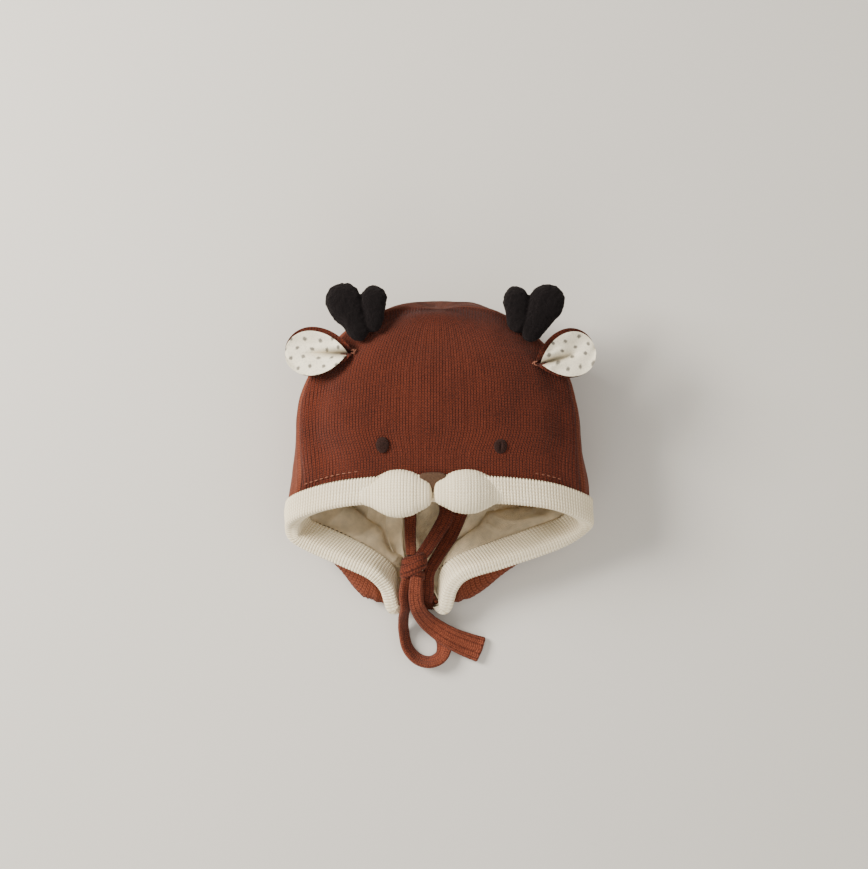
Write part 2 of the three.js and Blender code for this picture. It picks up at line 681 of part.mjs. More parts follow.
// The ties are flat knitted tubes. Each run is a list of places that it passes, as shares of HALF_WIDTH,
// LENGTH and HEIGHT, with its roll in degrees: 0 where it lies flat and 90 where it stands on its edge.
const TIE_RUNS = {
  tie_left_root: [
    [-0.2134, -0.5114, 0.1897, 0], [-0.2012, -0.4686, 0.225, 0], [-0.189, -0.4257, 0.2412, 0],
  ],
  tie_left_loop: [
    [-0.2256, -0.4229, 0.3162, -20], [-0.2476, -0.4686, 0.3132, -55], [-0.2415, -0.5143, 0.2721, -62],
    [-0.2537, -0.5543, 0.1397, -62], [-0.2537, -0.6, 0.0662, -62], [-0.2256, -0.6571, 0.0574, -62],
    [-0.1524, -0.6943, 0.0559, -62], [-0.061, -0.7029, 0.0559, -62], [0.0122, -0.6829, 0.0529, -50],
    [0.0305, -0.64, 0.0412, -20], [-0.0183, -0.5971, 0.0324, 0], [-0.0732, -0.5686, 0.0618, 0],
    [-0.122, -0.5429, 0.1441, 0], [-0.15, -0.5143, 0.2353, 0], [-0.1585, -0.48, 0.2765, 0],
    [-0.1585, -0.4343, 0.2926, 0],
  ],
  tie_left_end: [
    [-0.2012, -0.3229, 0.25, 0], [-0.2073, -0.2743, 0.1544, 20], [-0.2073, -0.2114, 0.1118, 20],
    [-0.2256, -0.1429, 0.0971, 0], [-0.2683, -0.0686, 0.0971, 0], [-0.3049, -0.0114, 0.0971, 0],
  ],
  tie_right_root: [
    [-0.0915, -0.5029, 0.1941, 0], [-0.0829, -0.4571, 0.2441, 0], [-0.0793, -0.4086, 0.2485, 0],
    [-0.0171, -0.3543, 0.1765, 0], [0.0854, -0.28, 0.1059, 0], [0.1463, -0.2114, 0.0941, 0],
    [0.1951, -0.1486, 0.0941, 0], [0.25, -0.08, 0.0941, 0], [0.2378, -0.0171, 0.0941, 0],
    [0.1463, 0.0114, 0.0941, 0], [0.0549, -0.0171, 0.0941, 0], [0.0244, -0.08, 0.1, 0],
    [0.0366, -0.1486, 0.1397, 0], [0.0488, -0.2114, 0.1765, 0], [-0.0122, -0.2686, 0.2059, 0],
    [-0.0793, -0.3143, 0.2647, 0],
  ],
  tie_right_end: [
    [-0.1646, -0.4286, 0.3471, 0], [-0.1707, -0.4743, 0.3324, 0], [-0.1561, -0.5143, 0.3, 0],
    [-0.1037, -0.5571, 0.1971, 0], [-0.0305, -0.5886, 0.1294, 0], [0.061, -0.6171, 0.1088, 0],
    [0.1707, -0.6429, 0.0588, 0], [0.2988, -0.6657, 0.0265, 0],
  ],
};
const TIE_STEP = 7; // length of a step along a tie

const TIE_SIDES = 8;
const sharePlace = ([out, along, up]) => V(out * HALF_WIDTH, along * LENGTH, up * HEIGHT);

// One run of a tie: its sections stay level, but for their roll, and widen evenly to the tip's width.
function tie(name) {
  const rows = TIE_RUNS[name];
  const curve = new THREE.CatmullRomCurve3(rows.map(sharePlace));
  const rolls = new THREE.CatmullRomCurve3(rows.map(([, , , roll]) => V(roll, 0, 0)));
  const tipWidth = name === "tie_right_end" ? TIE_TIP_WIDTH : TIE_WIDTH;
  const steps = Math.max(4, Math.ceil(curve.getLength() / TIE_STEP));
  const sections = [];
  for (let i = 0; i <= steps; i += 1) {
    const at = curve.getPointAt(i / steps);
    const tangent = curve.getTangentAt(i / steps);
    const roll = THREE.MathUtils.degToRad(rolls.getPoint(curve.getUtoTmapping(i / steps)).x);
    const turn = new THREE.Quaternion().setFromAxisAngle(tangent, roll);
    const level = V(0, 0, 1).cross(tangent).normalize().applyQuaternion(turn);
    const up = tangent.clone().cross(level);
    const width = THREE.MathUtils.lerp(TIE_WIDTH, tipWidth, i / steps);
    const loop = [];
    for (let k = 0; k < TIE_SIDES; k += 1) {
      const angle = (2 * Math.PI * (k + 0.5)) / TIE_SIDES;
      loop.push(
        at
          .clone()
          .addScaledVector(level, (Math.cos(angle) * width) / 2)
          .addScaledVector(up, (Math.sin(angle) * TIE_THICKNESS) / 2),
      );
    }
    sections.push(loop);
  }
  return loftSolid(sections, false);
}

const KNOT_AT = [-0.183, -0.3771, 0.2941]; // shares of HALF_WIDTH, LENGTH and HEIGHT
function knot() {
  const row = (share, wide, thick) => ({
    at: sharePlace(KNOT_AT).add(V(share * KNOT_WIDTH * 0.5, -share * KNOT_LENGTH * 0.15, 0)),
    wide: (wide * KNOT_LENGTH) / 2,
    thick: (thick * KNOT_THICKNESS) / 2,
  });
  return padded([row(-1, 0.5, 0.6), row(-0.4, 0.9, 1), row(0.4, 0.9, 1), row(1, 0.5, 0.6)], {
    steps: 8,
    sides: 12,
  });
}

const cloth = (color, roughness) => new THREE.MeshStandardMaterial({ color, roughness, metalness: 0 });
const RUST = cloth(0x8a4a30, 0.95);
const CREAM = cloth(0xe6decb, 0.92);
const COTTON = cloth(0xcabfa6, 0.9);
const PLUSH = cloth(0x201316, 0.98);
const BROWN = cloth(0x583c2a, 0.9);
const THREAD = cloth(0x413028, 0.85);

const hat = new THREE.Group();
function put(name, solid, material) {
  const mesh = new THREE.Mesh(geometryOf(solid), material);
  mesh.name = name;
  hat.add(mesh);
  return mesh;
}

put("crown_front", crownFront, RUST);
put("crown_back", crownBack, RUST);
put("lining", lining, COTTON);
put("face_band", faceBand, CREAM);
put("muzzle_left", seat(muzzleForm(-1, 0)), CREAM);
put("muzzle_right", seat(muzzleForm(1, 0)), CREAM);
const noseForm = nose().subtract(muzzleForm(-1, 1.5 * GAP)).subtract(muzzleForm(1, 1.5 * GAP));
put("nose", seat(noseForm), BROWN);
put("eye_left", eye(-0.39, 0.015), THREAD);
put("eye_right", eye(0.396, 0.011), THREAD);
for (const [name, ear] of Object.entries(EARS)) {
  put(`ear_${name}_back`, earLayer(ear, -EAR_WALL - 3 * GAP, 1), RUST);
  put(`ear_${name}_front`, earLayer(ear, 0, EAR_FRONT), CREAM);
}
put("antler_left", antler(-1), PLUSH);
put("antler_right", antler(1), PLUSH);
for (const name of Object.keys(TIE_RUNS)) put(name, tie(name), RUST);
put("tie_knot", knot(), RUST);

// The hat stands centred on its own footprint, without its ties.
const box = new THREE.Box3();
for (const mesh of hat.children) if (!mesh.name.startsWith("tie_")) box.expandByObject(mesh);
const centre = box.getCenter(V(0, 0, 0));
hat.position.set(-centre.x, -centre.y, -box.min.z);

export default hat;
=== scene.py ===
"""A baby's knitted bonnet with ears and antlers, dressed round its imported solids."""

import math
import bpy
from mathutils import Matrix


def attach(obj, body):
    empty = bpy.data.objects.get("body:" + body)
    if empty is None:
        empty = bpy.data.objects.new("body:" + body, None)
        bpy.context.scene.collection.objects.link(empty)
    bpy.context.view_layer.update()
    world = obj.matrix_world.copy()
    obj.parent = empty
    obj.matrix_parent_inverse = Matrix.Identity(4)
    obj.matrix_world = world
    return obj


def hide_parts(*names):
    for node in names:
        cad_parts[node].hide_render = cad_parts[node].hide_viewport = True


bl_info = {
    "name": "Baby bonnet with ears and antlers",
    "version": (1, 0, 0),
    "blender": (4, 5, 0),
    "location": "3D View > Sidebar > Bonnet",
    "description": "Builds the knitted pieces of the bonnet and its studio",
    "category": "Object",
}

import bmesh
import bpy
import numpy as np
from bpy.props import FloatProperty, FloatVectorProperty, PointerProperty
from mathutils import Vector

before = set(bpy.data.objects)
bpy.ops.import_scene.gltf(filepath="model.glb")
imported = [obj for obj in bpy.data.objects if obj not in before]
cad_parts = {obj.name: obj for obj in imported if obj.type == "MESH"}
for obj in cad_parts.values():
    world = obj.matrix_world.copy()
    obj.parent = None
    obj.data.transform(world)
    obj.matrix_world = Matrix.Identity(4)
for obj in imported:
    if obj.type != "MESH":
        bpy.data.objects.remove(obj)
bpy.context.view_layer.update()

# The sizes that the solids were made from, in millimetres
HALF_WIDTH, LENGTH, HEIGHT = 82.0, 175.0, 68.0
SIZES = np.array([HALF_WIDTH, LENGTH, HEIGHT])
KNIT, LINING, SLACK, GAP = 2.0, 1.0, 1.5, 0.3
BAND_WIDTH, BAND_WALL = 13.0, 1.7
SET = np.array([1.115, 0.929, 0.0])  # from the drawing's middle to the row frame

# Stations round the face edge. Columns: turn in degrees, lean, then out, along and up of the rim, of where
# the band ends, of the fullest place beyond it and of the lining's valley, as shares of the sizes above.
STATIONS = np.array([
    [0, -0.04, 0, -0.146, 0.853, 0, -0.075, 0.905, 0, -0.01, 0.95, 0, -0.034, 0.853],
    [22, -0.025, 0.354, -0.151, 0.846, 0.347, -0.078, 0.895, 0.345, -0.012, 0.935, 0.329, -0.034, 0.838],
    [44, 0, 0.665, -0.166, 0.779, 0.655, -0.095, 0.825, 0.645, -0.03, 0.87, 0.61, -0.046, 0.765],
    [62, 0, 0.878, -0.194, 0.662, 0.868, -0.122, 0.705, 0.85, -0.06, 0.755, 0.793, -0.074, 0.632],
    [78, 0, 0.982, -0.223, 0.551, 0.975, -0.155, 0.585, 0.965, -0.09, 0.61, 0.89, -0.114, 0.5],
    [92, -0.012, 0.994, -0.254, 0.456, 1.0, -0.185, 0.45, 0.985, -0.13, 0.45, 0.89, -0.154, 0.353],
    [106, -0.05, 0.927, -0.286, 0.397, 0.96, -0.24, 0.29, 0.96, -0.195, 0.2, 0.805, -0.206, 0.206],
    [120, -0.073, 0.744, -0.323, 0.368, 0.765, -0.31, 0.19, 0.79, -0.305, 0.09, 0.524, -0.211, 0.118],
    [133, -0.104, 0.518, -0.363, 0.368, 0.53, -0.352, 0.185, 0.57, -0.39, 0.09, 0.366, -0.263, 0.088],
    [145, -0.146, 0.317, -0.4, 0.353, 0.33, -0.388, 0.175, 0.4, -0.466, 0.1, 0.22, -0.331, 0.081],
    [154, -0.146, 0.22, -0.449, 0.279, 0.235, -0.44, 0.15, 0.29, -0.485, 0.07, 0.146, -0.377, 0.081],
    [161, -0.146, 0.171, -0.517, 0.206, 0.18, -0.497, 0.11, 0.2, -0.492, 0.06, 0.116, -0.411, 0.081],
    [167, -0.146, 0.104, -0.474, 0.191, 0.115, -0.485, 0.11, 0.125, -0.506, 0.06, 0.085, -0.411, 0.081],
    [173, -0.146, 0.061, -0.429, 0.191, 0.061, -0.472, 0.155, 0.061, -0.51, 0.07, 0.049, -0.4, 0.081],
    [180, -0.146, 0, -0.417, 0.191, 0, -0.465, 0.16, 0, -0.51, 0.07, 0, -0.391, 0.081],
])

# Rings of the crown. Columns: half width, then along and up at the top, the side and the underside.
RINGS = np.array([
    [0.965, 0.07, -0.029, -0.274, 0.971, 0.47, 0.0],
    [0.939, 0.16, 0.097, -0.103, 1.0, 0.485, 0.0],
    [0.86, 0.257, 0.217, 0.069, 0.971, 0.485, 0.0],
    [0.689, 0.331, 0.326, 0.24, 0.897, 0.5, 0.007],
    [0.5, 0.383, 0.4, 0.366, 0.838, 0.529, 0.118],
    [0.256, 0.414, 0.443, 0.46, 0.809, 0.632, 0.397],
])
POLE_ALONG, POLE_UP, LEAN_RING = 0.43, 0.748, -0.012
ROUND_POWER, TOP_POWER, UNDER_POWER = 0.8, 0.9, 0.5
UNDER_DIP, RAISED_UNDER, FLOOR_BEND, VALLEY_SLOPE = 0.09, 0.05, 3.0, 0.45
SEAM_STATION, BAND_END, TIP_TAPER_START, LEFT_TAPER, RIGHT_TAPER = 3.5, 11.5, 9.0, 0.6, 0.32
AROUND = 2 * (len(STATIONS) - 1)
MERIDIAN_STEPS, GIRTH_ROW = 120, 4.0
LATTICE = 24


# Plain helpers


def unit(v):
    """Each vector divided by its length."""
    return v / np.maximum(np.linalg.norm(v, axis=-1, keepdims=True), 1e-12)


def smooth(t):
    """Rises from 0 to 1 with level ends: 3 t squared less 2 t cubed."""
    t = np.clip(t, 0, 1)
    return t * t * (3 - 2 * t)


def bell(x, middle, width):
    """A bump of height 1: e to the minus of the square of the distance from the middle, in widths."""
    return np.exp(-(((x - middle) / width) ** 2))


def squared(value, power):
    """A sine or cosine whose size is raised to a power; a power below 1 makes an oval squarer."""
    return np.sign(value) * np.abs(value) ** power


def run_length(line):
    """The length along a line of points, from its start to each of them."""
    return np.concatenate([[0], np.cumsum(np.linalg.norm(np.diff(line, axis=0), axis=1))])


def sample(at, known, rows):
    """Rows of numbers known at some places, read at others on straight lines between them."""
    return np.stack([np.interp(at, known, rows[:, i]) for i in range(rows.shape[1])], 1)


def lumps(points, size, seed):
    """Smooth random values from -1 to 1: a lattice of random numbers, size millimetres apart, blended."""
    lattice = np.random.default_rng(seed).uniform(-1, 1, (LATTICE, LATTICE, LATTICE))
    place = np.asarray(points, float) / size
    cell = np.floor(place).astype(int)
    w = smooth(place - cell)
    total = np.zeros(place.shape[:-1])
    for corner in np.ndindex(2, 2, 2):
        at = (cell + corner) % LATTICE
        share = np.prod(np.where(np.array(corner) == 1, w, 1 - w), axis=-1)
        total += share * lattice[at[..., 0], at[..., 1], at[..., 2]]
    return total


# The surface that the knit, the lining and the band follow


def control_net():
    """The knit's control net, columns round and rows from the rim to the pole, and the lining's valley.
    A ring's width goes as the sine of the turn to a power, and its height as the cosine to another."""
    order = [c if c < len(STATIONS) else AROUND - c for c in range(AROUND)]
    side = np.where(np.arange(AROUND) < len(STATIONS), 1.0, -1.0)
    table = STATIONS[order]
    places = table[:, 2:].reshape(AROUND, 4, 3) * SIZES
    places[:, :, 0] = places[:, :, 0] * side[:, None] + table[:, 1:2] * HALF_WIDTH
    turn = np.radians(table[:, 0])[:, None]
    wide = np.abs(np.sin(turn)) ** ROUND_POWER
    cos = np.cos(turn)
    high = np.sign(cos) * np.abs(cos) ** np.where(cos > 0, TOP_POWER, UNDER_POWER)
    half, top_y, side_y, under_y, top_z, side_z, under_z = RINGS.T[:, None, :]
    along = side_y + (top_y - under_y) / 2 * high + ((top_y + under_y) / 2 - side_y) * high**2
    far = np.where(high > 0, top_z, under_z - np.where(under_z > RAISED_UNDER, 0, UNDER_DIP))
    up = side_z + (far - side_z) * np.abs(high)
    x = side[:, None] * half * HALF_WIDTH * wide + LEAN_RING * HALF_WIDTH
    rings = np.stack([x, along * LENGTH, up * HEIGHT], -1)
    pole = np.array([LEAN_RING, POLE_ALONG, POLE_UP]) * SIZES
    net = np.concatenate([places[:, :3], rings, np.broadcast_to(pole, (AROUND, 1, 3))], 1)
    return net, places[:, 3]


def weights(t):
    """The four weights of a uniform cubic step through points."""
    return np.stack([
        (-t + 2 * t**2 - t**3) / 2,
        (2 - 5 * t**2 + 3 * t**3) / 2,
        (t + 4 * t**2 - 3 * t**3) / 2,
        (-(t**2) + t**3) / 2,
    ])


def surface(net, station, row, floor):
    """The smooth surface through a net: cubic both ways, and bent flat where it would sink. The
    bend is a parabola: the square of the height over its foot, by four times the bend."""
    last = net.shape[1] - 1
    station, row = np.broadcast_arrays(np.asarray(station, float), np.asarray(row, float))
    first = 2 * net[:, :1] - net[:, 1:2]
    end = 2 * net[:, -1:] - net[:, -2:-1]
    full = np.concatenate([first, net, end], 1)
    s = np.floor(station).astype(int)
    r = np.clip(np.floor(row).astype(int), 0, last - 1)
    across, down = weights(station - s), weights(row - r)
    total = np.zeros(station.shape + (3,))
    for i, j in np.ndindex(4, 4):
        total += full[(s + i - 1) % AROUND, r + j] * (across[i] * down[j])[..., None]
    over = total[..., 2] - floor
    bent = floor + (over + FLOOR_BEND) ** 2 / (4 * FLOOR_BEND)
    total[..., 2] = np.where(over > FLOOR_BEND, total[..., 2], np.where(over < -FLOOR_BEND, floor, bent))
    return total


def directions(net, station, row, floor):
    """Outward normals, and the way from the rim to the pole, from small steps on the surface."""
    last, small, short = net.shape[1] - 1, 0.02, 0.05
    row = np.minimum(row, last - short)
    around = surface(net, station + small, row, floor) - surface(net, station - small, row, floor)
    above = surface(net, station, np.minimum(row + small, last), floor)
    down = above - surface(net, station, np.maximum(row - small, 0), floor)
    return unit(np.cross(around, down)), unit(down)


def from_middle(station):
    """How many stations a place is from the middle of the forehead, on either side."""
    return np.minimum(station % AROUND, AROUND - station % AROUND)


def band_reach(station):
    """The band's width at a station: narrower towards the flap tips, most on the left."""
    taper = np.where(station % AROUND > AROUND / 2, LEFT_TAPER, RIGHT_TAPER)
    share = (from_middle(station) - TIP_TAPER_START) / (BAND_END - TIP_TAPER_START)
    return BAND_WIDTH * (1 - taper * smooth(share))


def laid(net, floor, stations, shares=None, lengths=None):
    """Places on each station's line from the rim to the pole, at shares of its length or at lengths.
    Gives their rows, their lengths, the points, the normals and the ways to the pole."""
    steps = np.linspace(0, net.shape[1] - 1, MERIDIAN_STEPS + 1)
    line = surface(net, stations[:, None], steps[None], floor)
    run = np.cumsum(np.linalg.norm(np.diff(line, axis=1), axis=2), 1)
    run = np.concatenate([np.zeros((len(stations), 1)), run], 1)
    if lengths is None:
        lengths = run[:, -1:] * shares
    rows = np.array([np.interp(wanted, have, steps) for wanted, have in zip(lengths, run)])
    place = stations[:, None], rows, floor
    return rows, lengths, surface(net, *place), *directions(net, *place)


def level_pole(normal, share, start):
    """Normals that all turn to their mean at the pole, from a share of the way to it."""
    mean = unit(normal[:, -1].mean(0))
    blend = smooth((share - start) / (1 - start))[..., None]
    return unit(normal * (1 - blend) + mean * blend)


NET, VALLEYS = control_net()
KNIT_FLOOR, LINING_FLOOR = KNIT, KNIT + SLACK


def lining_net():
    """The lining's net: the knit's drawn in along its normals, but for its own valley."""
    rows = np.arange(NET.shape[1])[None].astype(float)
    normal, _ = directions(NET, np.arange(AROUND)[:, None], rows, -HEIGHT)
    net = NET - normal * SLACK
    net[:, 0] = NET[:, 0] - normal[:, 0] * 2 * GAP
    net[:, 1] = NET[:, 0] + (VALLEYS - NET[:, 0]) * VALLEY_SLOPE
    net[:, 2] = VALLEYS
    return net


COTTON_NET = lining_net()


def on_knit(x, y):
    """The point of the knit above a place in plan, found by stepping towards it, and its normal."""
    start_station, start_row, small, stride, last_row = 1.5, GIRTH_ROW, 0.01, 0.5, 8.9
    x, y = np.broadcast_arrays(np.asarray(x, float), np.asarray(y, float))
    station = np.where(x < 0, AROUND - start_station, start_station)
    row = np.full(x.shape, start_row)
    for _ in range(40):
        here = surface(NET, station, row, KNIT_FLOOR)
        around = (surface(NET, station + small, row, KNIT_FLOOR) - here) / small
        down = (surface(NET, station, row + small, KNIT_FLOOR) - here) / small
        det = around[..., 0] * down[..., 1] - around[..., 1] * down[..., 0]
        dx, dy = x - here[..., 0], y - here[..., 1]
        on = (dx * down[..., 1] - dy * down[..., 0]) / det
        back = (around[..., 0] * dy - around[..., 1] * dx) / det
        station = station + np.clip(on, -stride, stride)
        row = np.clip(row + np.clip(back, -stride, stride), 0, last_row)
    normal, _ = directions(NET, station, row, KNIT_FLOOR)
    return surface(NET, station, row, KNIT_FLOOR), normal


def on_hat(x, y, lift=0.0):
    """A place on the front panel from shares of the half width and the length, above the knit."""
    point, _ = on_knit(x * HALF_WIDTH, y * LENGTH)
    return point + np.array([0, 0, KNIT + lift])


# Meshes from arrays


def metres(points):
    """From the drawing's millimetres to the row frame's metres."""
    return (np.asarray(points) + SET) / 1000


def grid_faces(n, m, wrap_n=False, wrap_m=False, start=0, flip=False):
    """Quads of an n by m grid of points, closed either way where asked."""
    i, j = np.meshgrid(np.arange(n if wrap_n else n - 1), np.arange(m if wrap_m else m - 1), indexing="ij")
    i, j = i.ravel(), j.ravel()
    a, b = i * m + j, i * m + (j + 1) % m
    c, d = ((i + 1) % n) * m + (j + 1) % m, ((i + 1) % n) * m + j
    return np.stack([a, b, c, d] if flip else [d, c, b, a], 1) + start


def make_object(name, points, faces, slot, material, uv=None, replaces=(), merge=True):
    """A piece on the hat's one body, with its cloth coordinates in millimetres, kept off the floor."""
    above_floor, same_place = 2e-5, 2e-6
    mesh = bpy.data.meshes.new(name)
    points = np.maximum(points, [-np.inf, -np.inf, above_floor])
    quads = np.asarray(faces, np.int32)
    mesh.vertices.add(len(points))
    mesh.vertices.foreach_set("co", np.asarray(points, np.float32).ravel())
    mesh.loops.add(quads.size)
    mesh.loops.foreach_set("vertex_index", quads.ravel())
    mesh.polygons.add(len(quads))
    mesh.polygons.foreach_set("loop_start", np.arange(0, quads.size, quads.shape[1], dtype=np.int32))
    mesh.update(calc_edges=True)
    if uv is not None:
        layer = mesh.uv_layers.new(name="cloth")
        layer.uv.foreach_set("vector", np.asarray(uv, np.float32)[quads.ravel()].ravel())
    mesh.validate()
    mesh.shade_smooth()
    mesh.materials.append(material)
    obj = bpy.data.objects.new(name, mesh)
    bpy.context.scene.collection.objects.link(obj)
    if merge:
        bm = bmesh.new()
        bm.from_mesh(mesh)
        bmesh.ops.remove_doubles(bm, verts=bm.verts, dist=same_place)
        bm.to_mesh(mesh)
        bm.free()
    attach(obj, "root")
    if replaces:
        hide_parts(*replaces)
    return obj


def wall(outer, inner, wrap, pole):
    """A closed wall between two grids of points: both faces, the rim, and the sides or the pole."""
    n, m = outer.shape[:2]
    points = np.concatenate([outer.reshape(-1, 3), inner.reshape(-1, 3)])
    faces = [grid_faces(n, m, wrap), grid_faces(n, m, wrap, start=n * m, flip=True)]
    i = np.arange(n if wrap else n - 1)
    k = (i + 1) % n
    faces.append(np.stack([i * m, n * m + i * m, n * m + k * m, k * m], 1)[:, ::-1])
    if not pole:
        e = m - 1
        faces.append(np.stack([k * m + e, n * m + k * m + e, n * m + i * m + e, i * m + e], 1)[:, ::-1])
    if not wrap:
        j = np.arange(m - 1)
        faces.append(np.stack([j, j + 1, n * m + j + 1, n * m + j], 1)[:, ::-1])
        o = (n - 1) * m + j
        faces.append(np.stack([o, n * m + o, n * m + o + 1, o + 1], 1)[:, ::-1])
    return points, np.concatenate(faces)


def tube(sections):
    """A closed skin through rows of section points, with its ends closed on their middles."""
    n, m = sections.shape[:2]
    points = np.concatenate([sections.reshape(-1, 3), sections[0].mean(0)[None], sections[-1].mean(0)[None]])
    j = np.arange(m)
    k = (j + 1) % m
    first, last = np.full(m, n * m), np.full(m, n * m + 1)
    o = (n - 1) * m
    return points, np.concatenate([grid_faces(n, m, wrap_m=True), np.stack([j, k, first, first], 1),
                                   np.stack([o + k, o + j, last, last], 1)])


def tube_uv(around, along, shape):
    """Cloth coordinates for a tube's points and for the middles of its two ends."""
    uv = np.stack([np.broadcast_to(around, shape), np.broadcast_to(along, shape)], -1).reshape(-1, 2)
    return np.concatenate([uv, uv[:1], uv[-1:]])


def joined(tubes):
    """The points and faces of several skins as those of one."""
    starts = np.cumsum([0] + [len(points) for points, _ in tubes])
    return (np.concatenate([points for points, _ in tubes]),
            np.concatenate([faces + start for (_, faces), start in zip(tubes, starts)]))


def spline(points, t):
    """A centripetal cubic curve through the points, at t from 0 to 1 over equal index steps."""
    p = np.asarray(points, float)
    p = np.concatenate([2 * p[:1] - p[1:2], p, 2 * p[-1:] - p[-2:-1]])
    count = len(p) - 3
    place = np.clip(np.asarray(t, float), 0, 1) * count
    k = np.minimum(np.floor(place).astype(int), count - 1)
    w = (place - k)[..., None]
    p0, p1, p2, p3 = p[k], p[k + 1], p[k + 2], p[k + 3]
    d0, d1, d2 = (np.maximum(np.linalg.norm(b - a, axis=-1, keepdims=True), 1e-8) ** 0.5
                  for a, b in ((p0, p1), (p1, p2), (p2, p3)))
    m1 = ((p1 - p0) / d0 - (p2 - p0) / (d0 + d1) + (p2 - p1) / d1) * d1
    m2 = ((p2 - p1) / d1 - (p3 - p1) / (d1 + d2) + (p3 - p2) / d2) * d1
    return (p1 * (2 * w**3 - 3 * w**2 + 1) + m1 * (w**3 - 2 * w**2 + w)
            + p2 * (3 * w**2 - 2 * w**3) + m2 * (w**3 - w**2))


# Materials


def rgb(red, green, blue):
    """A linear colour from eight-bit screen values."""
    values = np.array([red, green, blue]) / 255
    linear = np.where(values <= 0.04045, values / 12.92, ((values + 0.055) / 1.055) ** 2.4)
    return (*linear, 1.0)


class Value:
    """What a node gives, ready for plain arithmetic: each step is one Math node."""

    def __init__(self, nodes, socket):
        self.nodes, self.socket = nodes, socket

    def step(self, operation, other=None):
        node = self.nodes.tree.nodes.new("ShaderNodeMath")
        node.operation = operation
        self.nodes.put(node.inputs[0], self)
        self.nodes.put(node.inputs[1], other)
        return Value(self.nodes, node.outputs[0])

    def __add__(self, other):
        return self.step("ADD", other)

    def __sub__(self, other):
        return self.step("SUBTRACT", other)

    def __mul__(self, other):
        return self.step("MULTIPLY", other)

    def __truediv__(self, other):
        return self.step("DIVIDE", other)

    def __pow__(self, other):
        return self.step("POWER", other)

    def __abs__(self):
        return self.step("ABSOLUTE")


class Nodes:
    """A material's nodes, made and joined in a few words."""

    def __init__(self, name, roughness, sheen=0.0, sheen_colour=None):
        self.material = bpy.data.materials.new(name)
        self.material.use_nodes = True
        self.tree = self.material.node_tree
        self.shader = self.tree.nodes["Principled BSDF"]
        self.shader.inputs["Roughness"].default_value = roughness
        self.shader.inputs["Sheen Weight"].default_value = sheen
        self.shader.inputs["Sheen Roughness"].default_value = 0.5
        self.shader.inputs["Specular IOR Level"].default_value = 0.2
        if sheen_colour:
            self.shader.inputs["Sheen Tint"].default_value = sheen_colour

    def put(self, socket, value):
        if isinstance(value, Value):
            self.tree.links.new(value.socket, socket)
        elif value is not None:
            socket.default_value = value

    def mix(self, share, a, b):
        node = self.tree.nodes.new("ShaderNodeMix")
        node.data_type = "RGBA"
        self.put(node.inputs["Factor"], share)
        self.put(node.inputs["A"], a)
        self.put(node.inputs["B"], b)
        return Value(self, node.outputs["Result"])

    def noise(self, scale, detail=3.0, rough=0.55):
        """Noise over the object's own coordinates, in millimetres."""
        coordinates = self.tree.nodes.new("ShaderNodeTexCoord")
        place = self.tree.nodes.new("ShaderNodeVectorMath")
        place.operation = "SCALE"
        self.tree.links.new(coordinates.outputs["Object"], place.inputs[0])
        place.inputs["Scale"].default_value = 1000
        node = self.tree.nodes.new("ShaderNodeTexNoise")
        node.inputs["Scale"].default_value = scale
        node.inputs["Detail"].default_value = detail
        node.inputs["Roughness"].default_value = rough
        self.tree.links.new(place.outputs[0], node.inputs["Vector"])
        return Value(self, node.outputs["Fac"])

    def cloth(self):
        """The piece's own cloth coordinates: across and along, in millimetres."""
        node = self.tree.nodes.new("ShaderNodeUVMap")
        node.uv_map = "cloth"
        split = self.tree.nodes.new("ShaderNodeSeparateXYZ")
        self.tree.links.new(node.outputs[0], split.inputs[0])
        return Value(self, split.outputs["X"]), Value(self, split.outputs["Y"])

    def spread(self, value, low, high):
        """0 at the low value and 1 at the high one, straight between them."""
        node = self.tree.nodes.new("ShaderNodeMapRange")
        self.put(node.inputs["Value"], value)
        node.inputs["From Min"].default_value = low
        node.inputs["From Max"].default_value = high
        return Value(self, node.outputs[0])

    def finish(self, colour, height=None, depth_mm=0.0):
        self.put(self.shader.inputs["Base Color"], colour)
        if height is not None:
            bump = self.tree.nodes.new("ShaderNodeBump")
            bump.inputs["Distance"].default_value = depth_mm / 1000
            self.put(bump.inputs["Height"], height)
            self.tree.links.new(bump.outputs[0], self.shader.inputs["Normal"])
        return self.material


LEG_LEAN, LEG_SHARP, GROOVE_RISE, GROOVE_DEPTH = 1.1, 0.6, 4.0, 0.45
PATCH_SCALE, PATCH_SHADE, FUZZ_SHADE, FUZZ_HEIGHT, STITCH_SHADE = 0.035, 0.3, 0.12, 0.45, 0.85


def knit_material(name, pale, dark, pitch, course, depth, marl, courses=0.32, sheen=0.05):
    """Stockinette: each wale is a column of V stitches, its two legs leaning in, with heathered yarn.
    A stitch's height is the sine across the wale, times a cosine along it, times the middle groove."""
    n = Nodes(name, 0.92, sheen)
    u, v = n.cloth()
    cell = (u / pitch).step("FRACT")
    off = abs(cell - 0.5)
    wale = (cell * math.pi).step("SINE")
    lean = v / course + off * LEG_LEAN
    loop = (lean * math.tau).step("COSINE") * courses + (1 - courses)
    groove = (off * GROOVE_RISE).step("MINIMUM", 1.0) * GROOVE_DEPTH + (1 - GROOVE_DEPTH)
    stitch = wale**LEG_SHARP * loop * groove
    fuzz = n.noise(1.6, 4.0)
    heather = n.spread(n.noise(1.1, 3.0, 0.8), 0.3, 0.7)
    patch = n.noise(PATCH_SCALE, 2.0)
    shade = stitch * STITCH_SHADE + fuzz * FUZZ_SHADE
    shade = shade + (heather - 0.5) * marl + (patch - 0.5) * PATCH_SHADE
    return n.finish(n.mix(n.spread(shade, 0.1, 0.8), dark, pale), stitch + fuzz * FUZZ_HEIGHT, depth)


